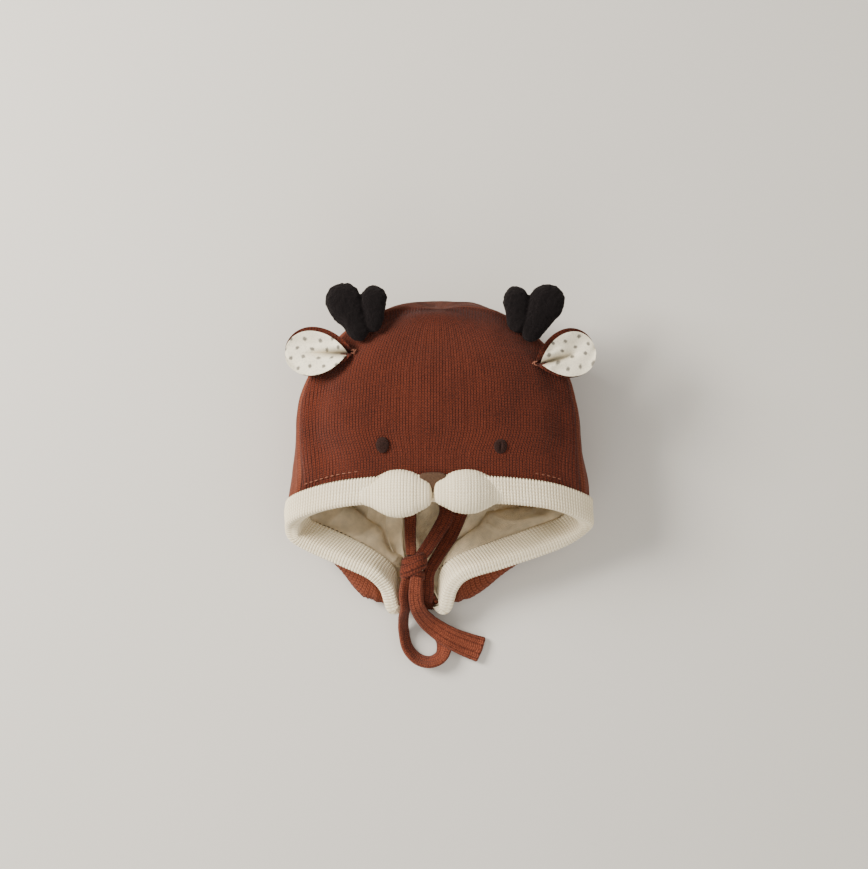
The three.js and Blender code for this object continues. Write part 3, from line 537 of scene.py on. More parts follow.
def weave_material(name, pale, dark, pitch=0.55, dots_and_shadow=None):
    """Plain weave: a sine of the place across times one of the place along, over soft creases."""
    n = Nodes(name, 0.9, 0.05)
    u, v = n.cloth()
    turns = math.tau / pitch
    weave = (u * turns).step("SINE") * (v * turns).step("SINE")
    crease = n.noise(0.12, 5.0)
    colour = n.mix(n.spread(weave * 0.06 + crease, 0.3, 0.75), dark, pale)
    # The printed dots and the painted shadow down the fold, for the ear's cloth.
    if dots_and_shadow:
        colour = print_and_painted_shadow(n, u, v, colour, *dots_and_shadow)
    return n.finish(colour, weave * 0.12 + crease, 0.35 if dots_and_shadow else 1.0)


DOT_ROW, DOT_BEND, DOT_RAGGED, DOT_SHARE = 0.7, 5.0, 1.4, 0.85
# FOLD_HALF and FOLD_SHARE are the half width and the strength of the painted shadow in the fold.
FOLD_HALF, FOLD_SHARE, SPECK_SHARE = 3.4, 0.8, 0.35


def print_and_painted_shadow(n, u, v, colour, spacing, radius, tint, reach):
    """Dots printed in staggered rows, a painted shadow in the fold from the root to its reach, and specks."""
    bend = (n.noise(0.07, 0.0) - 0.5) * DOT_BEND
    across, along, row_gap = u + bend, v - bend, spacing * DOT_ROW
    row = (along / row_gap).step("FLOOR")
    shift = abs(row).step("MODULO", 2.0) * 0.5
    x = ((across / spacing + shift).step("FRACT") - 0.5) * spacing
    y = ((along / row_gap).step("FRACT") - 0.5) * row_gap
    edge = (x**2.0 + y**2.0).step("SQRT") + (n.noise(1.2) - 0.5) * DOT_RAGGED
    colour = n.mix(n.spread(edge, radius + 0.4, radius - 0.3) * DOT_SHARE, colour, tint)
    # Painted shadow down the ear's fold, from the root to its reach.
    fold_painted_shadow = n.spread(abs(v), FOLD_HALF, 0.2) * n.spread(u, reach, 0.35 * reach)
    colour = n.mix(fold_painted_shadow**1.5 * FOLD_SHARE, colour, rgb(112, 100, 78))
    specks = n.spread(n.noise(1.1, 2.0), 0.45, 0.7)
    return n.mix(specks * SPECK_SHARE, colour, rgb(176, 168, 148))


def plush_material(name, pale, dark):
    """Short pile: fine uneven tufts, darker between them, with a soft sheen."""
    n = Nodes(name, 0.98, 0.06, (0.4, 0.3, 0.3, 1))
    height = n.noise(1.1, 6.0, 0.7) + n.noise(4.0, 3.0) * 0.4
    return n.finish(n.mix(n.spread(height, 0.45, 0.95), dark, pale), height, 1.6)


def thread_material(name, pale, dark):
    """Embroidery thread: fine slanting lines, a sine of the place across and some of that along."""
    slant, pitch = 0.35, 0.45
    n = Nodes(name, 0.75, 0.02)
    u, v = n.cloth()
    twist = ((u + v * slant) * (math.tau / pitch)).step("SINE")
    height = twist * 0.4 + n.noise(2.0)
    return n.finish(n.mix(n.spread(height, 0.2, 0.95), dark, pale), height, 0.25)


def darker(colour, share):
    """A colour scaled down to a share of itself."""
    return (*[c * share for c in colour[:3]], 1.0)


def paler(colour, share):
    """A colour moved a share of the way to white."""
    return (*[c + (1 - c) * share for c in colour[:3]], 1.0)


MATERIALS = {}


def material(kind):
    """Each finish is made once, from the colours in the settings. For knits the numbers are the wale, the
    course, the depth of the relief, the marl, the courses' strength and the sheen."""
    if kind in MATERIALS:
        return MATERIALS[kind]
    look = bpy.context.scene.bonnet
    finishes = {
        "knit": (knit_material, "rust_stockinette", look.knit_colour, rgb(38, 12, 5),
                 look.wale, look.wale * 0.8, 0.7, 0.42, 0.24, 0.05),
        # The back panel's knit: the same yarn as the front's, painted paler as a painted sheen of the light
        # along the sides and over the top.
        "knit_back": (knit_material, "rust_stockinette_painted_sheen", rgb(132, 70, 48), rgb(74, 32, 18),
                      look.wale, look.wale * 0.8, 0.35, 0.3),
        "tie": (knit_material, "tie_stockinette", rgb(136, 70, 47), rgb(66, 25, 14), 1.4, 1.2, 0.5, 0.7, 0.3),
        # The same tie knit painted darker: painted shade for the knot and the root straps, which lie in the
        # muzzle's shadow.
        "tie_painted_shade": (knit_material, "tie_stockinette_painted_shade", rgb(112, 52, 33), rgb(52, 19, 10),
                     1.4, 1.2, 0.5, 0.7, 0.3),
        "rib": (knit_material, "cream_rib", look.cream_colour, rgb(206, 186, 146),
                look.rib, look.rib * 0.75, 0.3, 0.15, 0.25),
        "cotton": (weave_material, "lining_cotton", look.cotton_colour, darker(look.cotton_colour, 0.62)),
        # The ear's cloth: printed dots, and a painted shadow down its fold that reaches 26 millimetres from
        # the root.
        "ear": (weave_material, "ear_cotton", paler(look.cream_colour, 0.1), darker(look.cream_colour, 0.85),
                0.5, (7.5, 1.0, rgb(70, 68, 64), 26.0)),
        "plush": (plush_material, "antler_plush", look.antler_colour, darker(look.antler_colour, 0.25)),
        "felt": (plush_material, "nose_felt", look.nose_colour, darker(look.nose_colour, 0.5)),
        "thread": (thread_material, "eye_thread", rgb(64, 34, 24), rgb(24, 11, 8)),
        "pale_thread": (thread_material, "pale_stitch", rgb(178, 118, 94), rgb(110, 62, 44)),
        "dark_thread": (thread_material, "dark_stitch", rgb(112, 84, 66), rgb(62, 42, 32)),
    }
    make, *rest = finishes[kind]
    MATERIALS[kind] = make(*rest)
    return MATERIALS[kind]


# The knit, the lining and the band

KNIT_ROWS, FRONT_COLUMNS, BACK_COLUMNS, SEAM_SLIT, CALM_ROUNDS = 150, 190, 330, 0.012, 8
ROLL_HEIGHT, ROLL_AT, SEAM_DIP, SEAM_DIP_WIDTH = 0.8, 2.0, 0.5, 0.6
BROAD_LUMPS, FINE_LUMPS, WALE_RELIEF = (24.0, 5), (9.0, 6), 0.12
# Height in millimetres, station and width of the ridge and the hollow down each side of the front
SIDE_RIDGE, SIDE_HOLLOW, RIGHT_SIDE_SHARE = (1.7, 3.05, 0.3), (-1.3, 2.35, 0.4), 0.6
JAW_START, JAW_AT, JAW_REACH, JAW_HEIGHT, JAW_PITCH = 8.4, 20.0, 10.0, 0.5, 9.0
LINING_COLUMNS, LINING_ROWS, CREASE_START = 350, 130, 10.0


def knit_panel(name, stations, replaces, front):
    """The knit between two stations: the surface moved out by its wall, with a roll along the seam, soft
    lumps, and folds down the sides of the front or round the jaw. Rolls and folds are bells and cosines."""
    shares = np.linspace(0, 1, KNIT_ROWS)
    _, arc, grid, normal, _ = laid(NET, KNIT_FLOOR, stations, shares)
    for _ in range(CALM_ROUNDS):
        beside = normal[:-2, 1:-1] + normal[2:, 1:-1] + normal[1:-1, :-2] + normal[1:-1, 2:]
        normal[1:-1, 1:-1] = unit(beside + 2 * normal[1:-1, 1:-1])
    pole = shares[None]
    normal = level_pole(normal, pole, 0.97)
    across = run_length(surface(NET, stations, np.full(len(stations), GIRTH_ROW), KNIT_FLOOR))
    across -= across[len(across) // 2]
    from_seam = np.minimum(np.abs(across - across[0]), np.abs(across[-1] - across))[:, None]
    from_seam = from_seam * (1 - 0.75 * pole**2)
    roll = ROLL_HEIGHT * bell(from_seam, ROLL_AT, ROLL_AT) - SEAM_DIP * bell(from_seam, 0, SEAM_DIP_WIDTH)
    u = across[:, None] * np.ones_like(arc)
    soft = 0.8 * lumps(grid, *BROAD_LUMPS) + 0.3 * lumps(grid, *FINE_LUMPS)
    wales = WALE_RELIEF * np.cos(math.tau * u / bpy.context.scene.bonnet.wale)
    fade = smooth((pole - 0.02) / 0.05) * (1 - smooth((pole - 0.9) / 0.1))
    above = smooth((normal[..., 2] + 0.45) / 0.45)
    height = KNIT + (roll + (soft + wales) * above) * fade
    turn = from_middle(stations)[:, None]
    if front:
        strength = np.where(stations < 0, 1.0, RIGHT_SIDE_SHARE)[:, None]
        side = sum(high * bell(turn, at, width) for high, at, width in (SIDE_RIDGE, SIDE_HOLLOW))
        height = height + strength * side * smooth((arc - 8) / 25) * smooth((0.75 - pole) / 0.3)
        u = 0.5 * u + 0.5 * grid[..., 0] * 1.12
    else:
        jaw = smooth((turn - JAW_START) / 1.2) * bell(arc, JAW_AT, JAW_REACH)
        folds = np.cos(math.tau * (arc + 1.5 * np.sin(turn * 1.6) - 3.0) / JAW_PITCH)
        height = height + JAW_HEIGHT * jaw * folds * above
    outer = grid + normal * height[..., None]
    outer[..., 2] = np.maximum(outer[..., 2], 0.02)
    points, faces = wall(metres(outer), metres(grid), False, True)
    uv = np.stack([u, arc], -1).reshape(-1, 2)
    # The back panel takes the knit painted paler: a painted sheen of light on the sides and top.
    return make_object(name, points, faces, "rust_knit", material("knit" if front else "knit_back"),
                       np.concatenate([uv, uv]), replaces)


def lining_piece():
    """The lining: its net drawn in by its wall. Its creases are one less the root of a sine's size: some
    run down from the band, two sets ripple over the cloth, and all are low under the ties."""
    stations = np.linspace(0, AROUND, LINING_COLUMNS, endpoint=False)
    shares = np.linspace(0, 1, LINING_ROWS) ** 1.15
    rows, arc, grid, normal, _ = laid(COTTON_NET, LINING_FLOOR, stations, shares)
    t = rows / (NET.shape[1] - 1)
    normal = level_pole(normal, t, 0.96)
    x, y, a = grid[..., 0], grid[..., 1], stations[:, None]
    gathers = np.abs(np.sin(a * 2.3 + 0.9 * np.sin(a * 0.8) + y * 0.03)) ** 0.5
    ripples = np.abs(np.sin((x * 0.8 + y) * 0.085 + 1.3 * np.sin(x * 0.06))) ** 0.6
    cross = np.abs(np.sin((x - 1.1 * y) * 0.07 + 1.1 * np.sin(y * 0.05))) ** 0.6
    depth = (1 - gathers) * 3.0 * smooth((arc - 12) / 14) + (1 - ripples) * 2.3 + (1 - cross) * 2.0
    under_ties = np.exp(-(((x - 4) / 20) ** 4) - ((y + 46) / 26) ** 4)
    fade = smooth((arc - CREASE_START) / 8) * (1 - smooth((t - 0.86) / 0.12))
    inner = grid - normal * (LINING + depth * (1 - 0.85 * under_ties) * fade)[..., None]
    points, faces = wall(metres(grid), metres(inner), True, True)
    uv = np.stack([x, y], -1).reshape(-1, 2)
    return make_object("lining_cloth", points, faces, "cotton_lining", material("cotton"),
                       np.concatenate([uv, uv]), ("lining",))


COLUMNS_PER_RIB, BAND_RELIEF, PUFF_RELIEF, BAND_TOOTH = 7, 0.42, 0.3, 0.35
RIBS_FADE_FROM, RIBS_FADE_OVER = 10.2, 0.9
FIRST_OUTSIDE, LAST_OUTSIDE, OUTSIDE_STEPS = 6, 12, 33  # places of the band's profile


def ribs(phase):
    """Round ribs with narrow valleys: the size of the cosine of half the phase, to the power 0.7."""
    return np.abs(np.cos(phase / 2)) ** 0.7 - 0.6


def band_piece():
    """The rib band folded round the face edge: a closed profile of 13 places carried along it. The outside
    half of the profile is rounded by a cubic curve and lifted by the ribs."""
    look = bpy.context.scene.bonnet
    coarse = np.linspace(-BAND_END, BAND_END, 600)
    rim = surface(NET, coarse, np.zeros_like(coarse), KNIT_FLOOR)
    arc = run_length(rim)
    along = np.linspace(0, arc[-1], int(arc[-1] / look.rib) * COLUMNS_PER_RIB)
    stations = np.interp(along, arc, coarse)
    lengths = band_reach(stations)[:, None] * np.array([0.0, 0.5, 1.0])
    _, _, knit, knit_out, knit_down = laid(NET, KNIT_FLOOR, stations, lengths=lengths)
    _, _, cotton, cotton_out, cotton_down = laid(COTTON_NET, LINING_FLOOR, stations, lengths=lengths)
    edge = unit(knit_down[:, 0] + cotton_down[:, 0])
    phase = math.tau * along / look.rib
    ribbed = 1 - smooth((np.abs(stations) - RIBS_FADE_FROM) / RIBS_FADE_OVER)
    near, far = GAP, GAP + BAND_WALL

    def outside(place, lift, out):
        return knit[:, place] + knit_out[:, place] * (KNIT + lift) - edge * out

    def inside(place, lift, out):
        return cotton[:, place] - cotton_out[:, place] * (LINING + lift) - edge * out

    tooth = (BAND_TOOTH * np.cos(phase) * ribbed)[:, None] * knit_down[:, 2]
    fold = (outside(0, 0, far * 1.3) + inside(0, 0, far * 1.3)) / 2
    loop = np.stack([
        outside(2, near, 0) + tooth, outside(1, near, 0), outside(0, near, near), inside(0, near, near),
        inside(1, near, 0), inside(2, near, 0), inside(2, far, 0), inside(1, far, 0),
        inside(0, far, far * 0.5), fold, outside(0, far, far * 0.5), outside(1, far, 0),
        outside(2, far, 0) + tooth,
    ], 1)
    fine = np.linspace(FIRST_OUTSIDE, LAST_OUTSIDE, OUTSIDE_STEPS)
    k = np.minimum(np.floor(fine).astype(int), LAST_OUTSIDE - 1)
    w = weights(fine - k)
    rounded = sum(loop[:, np.clip(k + i - 1, FIRST_OUTSIDE, LAST_OUTSIDE)] * w[i][None, :, None]
                  for i in range(4))
    sections = np.concatenate([loop[:, :FIRST_OUTSIDE], rounded], 1)
    direction = sample(stations, coarse, unit(np.gradient(rim, axis=0)))
    step = np.roll(sections, -1, 1) - np.roll(sections, 1, 1)
    out = unit(np.cross(step, direction[:, None]))
    out *= np.sign((out * (sections - sections.mean(1, keepdims=True))).sum(-1).mean())
    lift = np.zeros(sections.shape[:2])
    lift[:, FIRST_OUTSIDE:] = (BAND_RELIEF * ribs(phase) * ribbed)[:, None]
    lift[:, FIRST_OUTSIDE] *= 0.3
    lift[:, -1] *= 0.6
    sections = sections + out * lift[..., None]
    sections[..., 2] = np.maximum(sections[..., 2], 0.4)
    points, faces = tube(metres(sections))
    uv = tube_uv(along[:, None] + look.rib / 2, run_length(sections.mean(0))[None], sections.shape[:2])
    return make_object("rib_band", points, faces, "cream_rib", material("rib"), uv, ("face_band",))


# The padded pieces and the embroidery


def padded_sections(places, sizes, steps, sides, full=0.85, blunt=8):
    """Sections across a line of places in plan: squared ovals whose size follows the rows, closed at
    the ends by the root of one less the distance from the middle to an even power."""
    t = (1 - np.cos(np.pi * np.arange(steps + 1) / steps)) / 2
    at, size = spline(places, t), spline(sizes, t)
    even = np.linspace(0, 1, 400)
    along = sample(t, even, unit(np.gradient(spline(places, even), axis=0)))
    side = unit(np.cross([0, 0, 1.0], along))
    up = np.cross(along, side)
    end = np.maximum(0.02, np.sqrt(np.maximum(0, 1 - (2 * t - 1) ** blunt)))
    angle = math.tau * np.arange(sides) / sides
    cos, sin = squared(np.cos(angle), full), squared(np.sin(angle), full)
    wide = (size[:, 0] * end)[:, None, None] * cos[None, :, None] * side[:, None]
    thick = (size[:, 1] * end)[:, None, None] * sin[None, :, None] * up[:, None]
    return at[:, None] + wide + thick, at, angle


MUZZLE_MIDDLE, MUZZLE_ALONG, MUZZLE_SPLIT = -0.048, -0.138, 0.4
MUZZLE_LENGTH, MUZZLE_WIDTH, MUZZLE_THICKNESS, MUZZLE_FALL = 35.0, 27.0, 15.0, 0.055
# Columns: share of the length from the middle, half width and half thickness as shares
MUZZLE_ROWS = np.array([
    [0.0, 0.38, 0.3], [0.09, 0.52, 0.52], [0.2, 0.74, 0.76], [0.31, 0.9, 0.93],
    [0.49, 1.0, 1.0], [0.65, 0.97, 0.9], [0.81, 0.79, 0.66], [1.0, 0.58, 0.36],
])
# The soft puffs are blunter towards the nose and run a little way under the band at their other end
PUFF_ROWS = np.concatenate([
    [[0.0, 0.47, 0.4], [0.1, 0.6, 0.6]], MUZZLE_ROWS[2:-1], [[0.97, 0.56, 0.34], [1.14, 0.46, 0.2]],
])
PUFF_STEPS, PUFF_SIDES, PUFF_GIRTH = 300, 72, 11.0
# For the left and the right puff: how far up it lies and the share of the width that it has
PUFF_UP, PUFF_SHARE = {-1: 0.2, 1: 1.3}, {-1: 0.98, 1: 0.91}


def puff_piece(side):
    """A muzzle puff: squared oval sections across it, with ribs that run over it from edge to edge."""
    look = bpy.context.scene.bonnet
    middle = MUZZLE_MIDDLE * HALF_WIDTH
    crest = on_hat(MUZZLE_MIDDLE, MUZZLE_ALONG + 0.03, GAP + BAND_WALL)[2]
    share, wide, thick = PUFF_ROWS.T
    places = np.stack([
        middle + side * (MUZZLE_SPLIT + share * MUZZLE_LENGTH),
        np.full(len(share), MUZZLE_ALONG * LENGTH + PUFF_UP[side]),
        crest - MUZZLE_FALL * share * HEIGHT,
    ], 1)
    wide = wide * PUFF_SHARE[side]
    sizes = np.stack([wide * MUZZLE_WIDTH / 2, thick * MUZZLE_THICKNESS / 2, 0 * share], 1)
    sections, at, angle = padded_sections(places, sizes, PUFF_STEPS, PUFF_SIDES, blunt=18)
    out = unit(sections - at[:, None])
    phase = math.tau * (at[:, 0] - middle) / look.rib
    from_end = 0.5 - np.abs(np.linspace(-0.5, 0.5, PUFF_STEPS + 1))
    relief = PUFF_RELIEF * ribs(phase) * smooth(from_end / 0.05)
    sections = sections + out * relief[:, None, None]
    points, faces = tube(metres(sections if side > 0 else sections[:, ::-1]))
    uv = tube_uv((at[:, 0] - middle)[:, None] + look.rib / 2, angle[None] * PUFF_GIRTH, sections.shape[:2])
    name = "right" if side > 0 else "left"
    obj = make_object(f"puff_{name}", points, faces, "cream_rib", material("rib"), uv, (f"muzzle_{name}",))
    return obj


NOSE_TOP, NOSE_WIDTH, NOSE_LENGTH, NOSE_THICKNESS, NOSE_SUNK = -0.071, 15.0, 11.0, 4.0, 0.3


def nose_piece():
    """The nose: a low padded patch, wide above and narrow below."""
    share = np.array([0, 0.3, 0.7, 1.0])
    top = on_hat(MUZZLE_MIDDLE, NOSE_TOP, GAP + BAND_WALL)
    tip = on_hat(MUZZLE_MIDDLE, NOSE_TOP - NOSE_LENGTH / LENGTH, GAP + BAND_WALL)
    places = top + (tip - top) * share[:, None]
    wide = np.array([0.95, 1, 0.7, 0.3]) * NOSE_WIDTH / 2
    sizes = np.stack([wide, np.full(4, NOSE_THICKNESS / 2 - NOSE_SUNK), np.zeros(4)], 1)
    sections, _, _ = padded_sections(places, sizes, 40, 40, 0.6)
    points, faces = tube(metres(sections))
    return make_object("nose_patch", points, faces, "nose_felt", material("felt"), points[:, :2] * 1000,
                       ("nose",))


# Each eye's place as shares, then its width and height
EYES = {"left": (-0.379, 0.015, 7.0, 8.8), "right": (0.396, 0.011, 7.4, 8.0)}
EYE_STEPS, EYE_DOME, EYE_RIDGE, EYE_THREAD, EYE_SUNK = 60, 1.1, 0.14, 0.62, 0.4


def eye_piece(name):
    """An embroidered eye: a dome, the root of one less the radius squared, with a cosine ridge for each
    thread, and a slit down the right one."""
    x, y, width, height = EYES[name]
    point, normal = on_knit(x * HALF_WIDTH, y * LENGTH)
    n = EYE_STEPS
    radius, turn = np.meshgrid(np.linspace(0, 1, n), math.tau * np.arange(n) / n, indexing="ij")
    ragged = 1 + 0.03 * np.sin(turn * 23) + 0.02 * np.sin(turn * 41)
    dx, dy = radius * np.cos(turn) * width / 2 * ragged, radius * np.sin(turn) * height / 2 * ragged
    dome = EYE_DOME * np.sqrt(np.maximum(0, 1 - radius**2)) + 0.1
    ridges = EYE_RIDGE * np.cos(math.tau * (dx + 0.12 * dy) / EYE_THREAD) * (1 - radius**6)
    slit = 0.9 * bell(dx, 0, 0.7) * bell(dy, 0, 2.2) if name == "right" else 0
    across = unit(np.cross([0, 1.0, 0], normal))
    flat = point + dx[..., None] * across + dy[..., None] * np.cross(normal, across)
    top = flat + (KNIT + 0.1 + dome + ridges - slit)[..., None] * normal
    base = flat + (KNIT - EYE_SUNK) * normal
    sections = np.concatenate([base[:1], base[-1:], top[::-1]])
    faces = grid_faces(len(sections), n, wrap_m=True, flip=True)
    uv = np.stack([dx, dy], -1)
    uv = np.concatenate([uv[:1], uv[-1:], uv[::-1]]).reshape(-1, 2)
    return make_object(f"embroidered_eye_{name}", metres(sections.reshape(-1, 3)), faces, "eye_thread",
                       material("thread"), uv, (f"eye_{name}",))


ANTLER_LENGTH, ANTLER_WIDTH, ANTLER_THICKNESS, ANTLER_FALL = 34.0, 34.0, 13.0, 0.12
ANTLER_MIDDLE, ANTLER_ROOT, ANTLER_SEAT = 0.034, (0.56, 0.337), 0.35
ANTLER_VOXEL, ANTLER_UP, ANTLER_SLIM = 0.0005, 0.95, 0.97  # the pile stands out past the slimmer core
# Columns: out and up from the root, half width and half thickness as shares
ANTLER_LOBES = [
    np.array([[-0.02, 0.0, 0.3, 0.6], [0.115, 0.34, 0.45, 0.9], [0.28, 0.67, 0.6, 1.0],
              [0.37, 0.97, 0.47, 0.8]]),
    np.array([[-0.16, 0.16, 0.34, 0.6], [-0.19, 0.42, 0.37, 0.8], [-0.2, 0.7, 0.45, 0.9],
              [-0.22, 0.95, 0.33, 0.7]]),
]
# Height, size and seed of the three sizes of tuft
TUFTS = ((0.45, 4.5, 11), (0.3, 1.7, 12), (0.2, 0.9, 13))


def antler_piece(side):
    """A plush antler: two padded lobes joined by a voxel remesh, with tufts from noise along the normals."""
    x, y = ANTLER_ROOT
    root = on_hat(side * x + ANTLER_MIDDLE, y, ANTLER_THICKNESS * ANTLER_SEAT)
    lobes = []
    for rows in ANTLER_LOBES:
        out, up, wide, thick = rows.T
        up = up * ANTLER_UP * ANTLER_LENGTH
        places = np.stack([root[0] + side * out * ANTLER_WIDTH, root[1] + up, root[2] - ANTLER_FALL * up], 1)
        sizes = np.stack([wide * ANTLER_WIDTH / 2, thick * ANTLER_THICKNESS / 2, np.zeros(4)], 1)
        sections, _, _ = padded_sections(places, sizes * ANTLER_SLIM, 40, 40, 0.9, 6)
        lobes.append(tube(metres(sections)))
    name = "right" if side > 0 else "left"
    obj = make_object(f"plush_antler_{name}", *joined(lobes), "antler_plush", material("plush"),
                      replaces=(f"antler_{name}",))
    remesh = obj.modifiers.new("join", "REMESH")
    remesh.mode = "VOXEL"
    remesh.voxel_size = ANTLER_VOXEL
    smoothing = obj.modifiers.new("soften", "SMOOTH")
    smoothing.factor = 0.6
    smoothing.iterations = 6
    apply_modifiers(obj)
    co, normals = mesh_arrays(obj)
    tufts = sum(height * lumps(co * 1000, size, seed) for height, size, seed in TUFTS)
    co += normals * (0.001 * tufts)[:, None]
    obj.data.vertices.foreach_set("co", co.astype(np.float32).ravel())
    obj.data.shade_smooth()
    return obj


def apply_modifiers(obj):
    """The evaluated mesh takes the place of the piece's own."""
    bpy.context.view_layer.update()
    evaluated = obj.evaluated_get(bpy.context.evaluated_depsgraph_get())
    mesh = bpy.data.meshes.new_from_object(evaluated)
    obj.modifiers.clear()
    old = obj.data
    obj.data = mesh
    bpy.data.meshes.remove(old)


def mesh_arrays(obj):
    """A piece's vertices and their normals as arrays."""
    arrays = [np.zeros(len(obj.data.vertices) * 3, np.float32) for _ in range(2)]
    for array, name in zip(arrays, ("co", "normal")):
        obj.data.vertices.foreach_get(name, array)
    return [array.reshape(-1, 3).astype(float) for array in arrays]


EAR_WIDTH, EAR_WALL, EAR_CUP, EAR_PINCH = 27.0, 1.5, 4.0, 4.0
EAR_WIDEST, EAR_FRONT, EAR_DROOP, EAR_ROWS, EAR_COLUMNS = 0.6, 0.9, -0.12, 90, 61
EAR_LIP, EAR_LIP_AT, EAR_LIP_WIDTH, EAR_CREASE, EAR_CREASE_WIDTH = 1.8, 3.2, 2.0, 2.6, 1.1
# The front layer's shift across, its reach past the tip and its rise towards the tip
FRONT_SHIFT, FRONT_REACH, FRONT_RISE = 1.0, 0.5, 0.7
# Each ear's root, turn in degrees, side and length
EARS = {"left": ((-0.578, 0.305), 180, -1, 38.0), "right": ((0.633, 0.268), 16.5, 1, 34.2)}
# Turn in degrees and place of each loop of thread at an ear's root
EAR_THREADS = np.array([[20, -0.3, 0.9, 0.6], [95, 0.5, 0, 0.8], [160, -0.2, -0.9, 0.6], [55, 1.1, 0.4, 0.4]])


def ear_width(t):
    """The ear's half width along it, a teardrop: a sine to its widest place, then a quarter of an ellipse."""
    tip = np.sqrt(np.maximum(0, 1 - ((t - EAR_WIDEST) / (1 - EAR_WIDEST)) ** 2))
    root = np.sin(math.pi / 2 * (np.minimum(t, EAR_WIDEST) / EAR_WIDEST) ** 0.8)
    return np.where(t > EAR_WIDEST, tip, root)


def ear_stitch(name):
    """The few loops of thread that hold an ear at its root."""
    (rx, ry), _, side, _ = EARS[name]
    turns = np.radians(EAR_THREADS[:, 0])
    along = np.stack([np.cos(turns), np.sin(turns), 0 * turns], 1)
    centres = on_hat(rx, ry, EAR_WALL + GAP) + EAR_THREADS[:, 1:] * [-side, 1, 1]
    up = np.broadcast_to([0.0, 0.0, 1.0], along.shape)
    return stitches(f"ear_{name}_stitch", centres, along, up, 2.4, 0.33, "pale_thread", "ear_cotton")


def ear_layer(name, which, level, size, slot, kind):
    """One layer of an ear: a teardrop sheet, folded at its root and cupped by the square of the place
    across it, with a crease down its middle between two lips, thinner at its edge."""
    (rx, ry), turn, side, length = EARS[name]
    front = which == "front"
    base = on_hat(rx, ry, EAR_WALL + GAP)
    angle = math.radians(turn)
    along = unit(np.array([math.cos(angle), math.sin(angle), EAR_DROOP]))
    across = unit(np.cross([0, 0, 1.0], along)) * -side
    share, b = np.meshgrid(np.linspace(0, 1, EAR_ROWS), np.linspace(-1, 1, EAR_COLUMNS), indexing="ij")
    t = size * share + (1 - size) * 0.8
    profile = ear_width(share)
    wide = size * EAR_WIDTH * profile / 2
    fold = EAR_PINCH * np.maximum(0, 1 - t / 0.8) * np.abs(b) ** 0.7 * np.minimum(1, 2 * profile)
    cup = EAR_CUP * b * b * profile
    lips = EAR_LIP * bell(np.abs(b * wide), EAR_LIP_AT, EAR_LIP_WIDTH)
    crease = (lips - EAR_CREASE * bell(b * wide, 0, EAR_CREASE_WIDTH)) * smooth((0.78 - t) / 0.45)
    ripple = 0.5 * np.sin(b * 5 + t * 9) * profile
    rim = np.maximum(np.abs(b), np.maximum(0, (share - 0.82) / 0.18))
    rise = level + front * FRONT_RISE * smooth((share - 0.45) / 0.4)
    thickness = EAR_WALL * np.sqrt(np.maximum(0.02, 1 - rim**6))
    flat = (base + (t * length + front * FRONT_REACH * share)[..., None] * along
            + (b * wide + front * FRONT_SHIFT)[..., None] * across)

    def sheet(lift):
        return flat + (fold + cup + rise + crease + ripple + lift)[..., None] * np.array([0, 0, 1.0])

    top, bottom = sheet(EAR_WALL / 2 + thickness / 2), sheet(EAR_WALL / 2 - thickness / 2)
    uv = np.stack([t * length, b * wide], -1)
    if side > 0:
        top, bottom, uv = top[:, ::-1], bottom[:, ::-1], uv[:, ::-1]
    points, faces = wall(metres(top), metres(bottom), False, False)
    uv = uv.reshape(-1, 2)
    obj = make_object(f"ear_{name}_{which}_cloth", points, faces, slot, material(kind),
                      np.concatenate([uv, uv]), (f"ear_{name}_{which}",))
    return obj


# The ties

TIE_WIDTH, TIE_THICKNESS = 7.0, 3.4
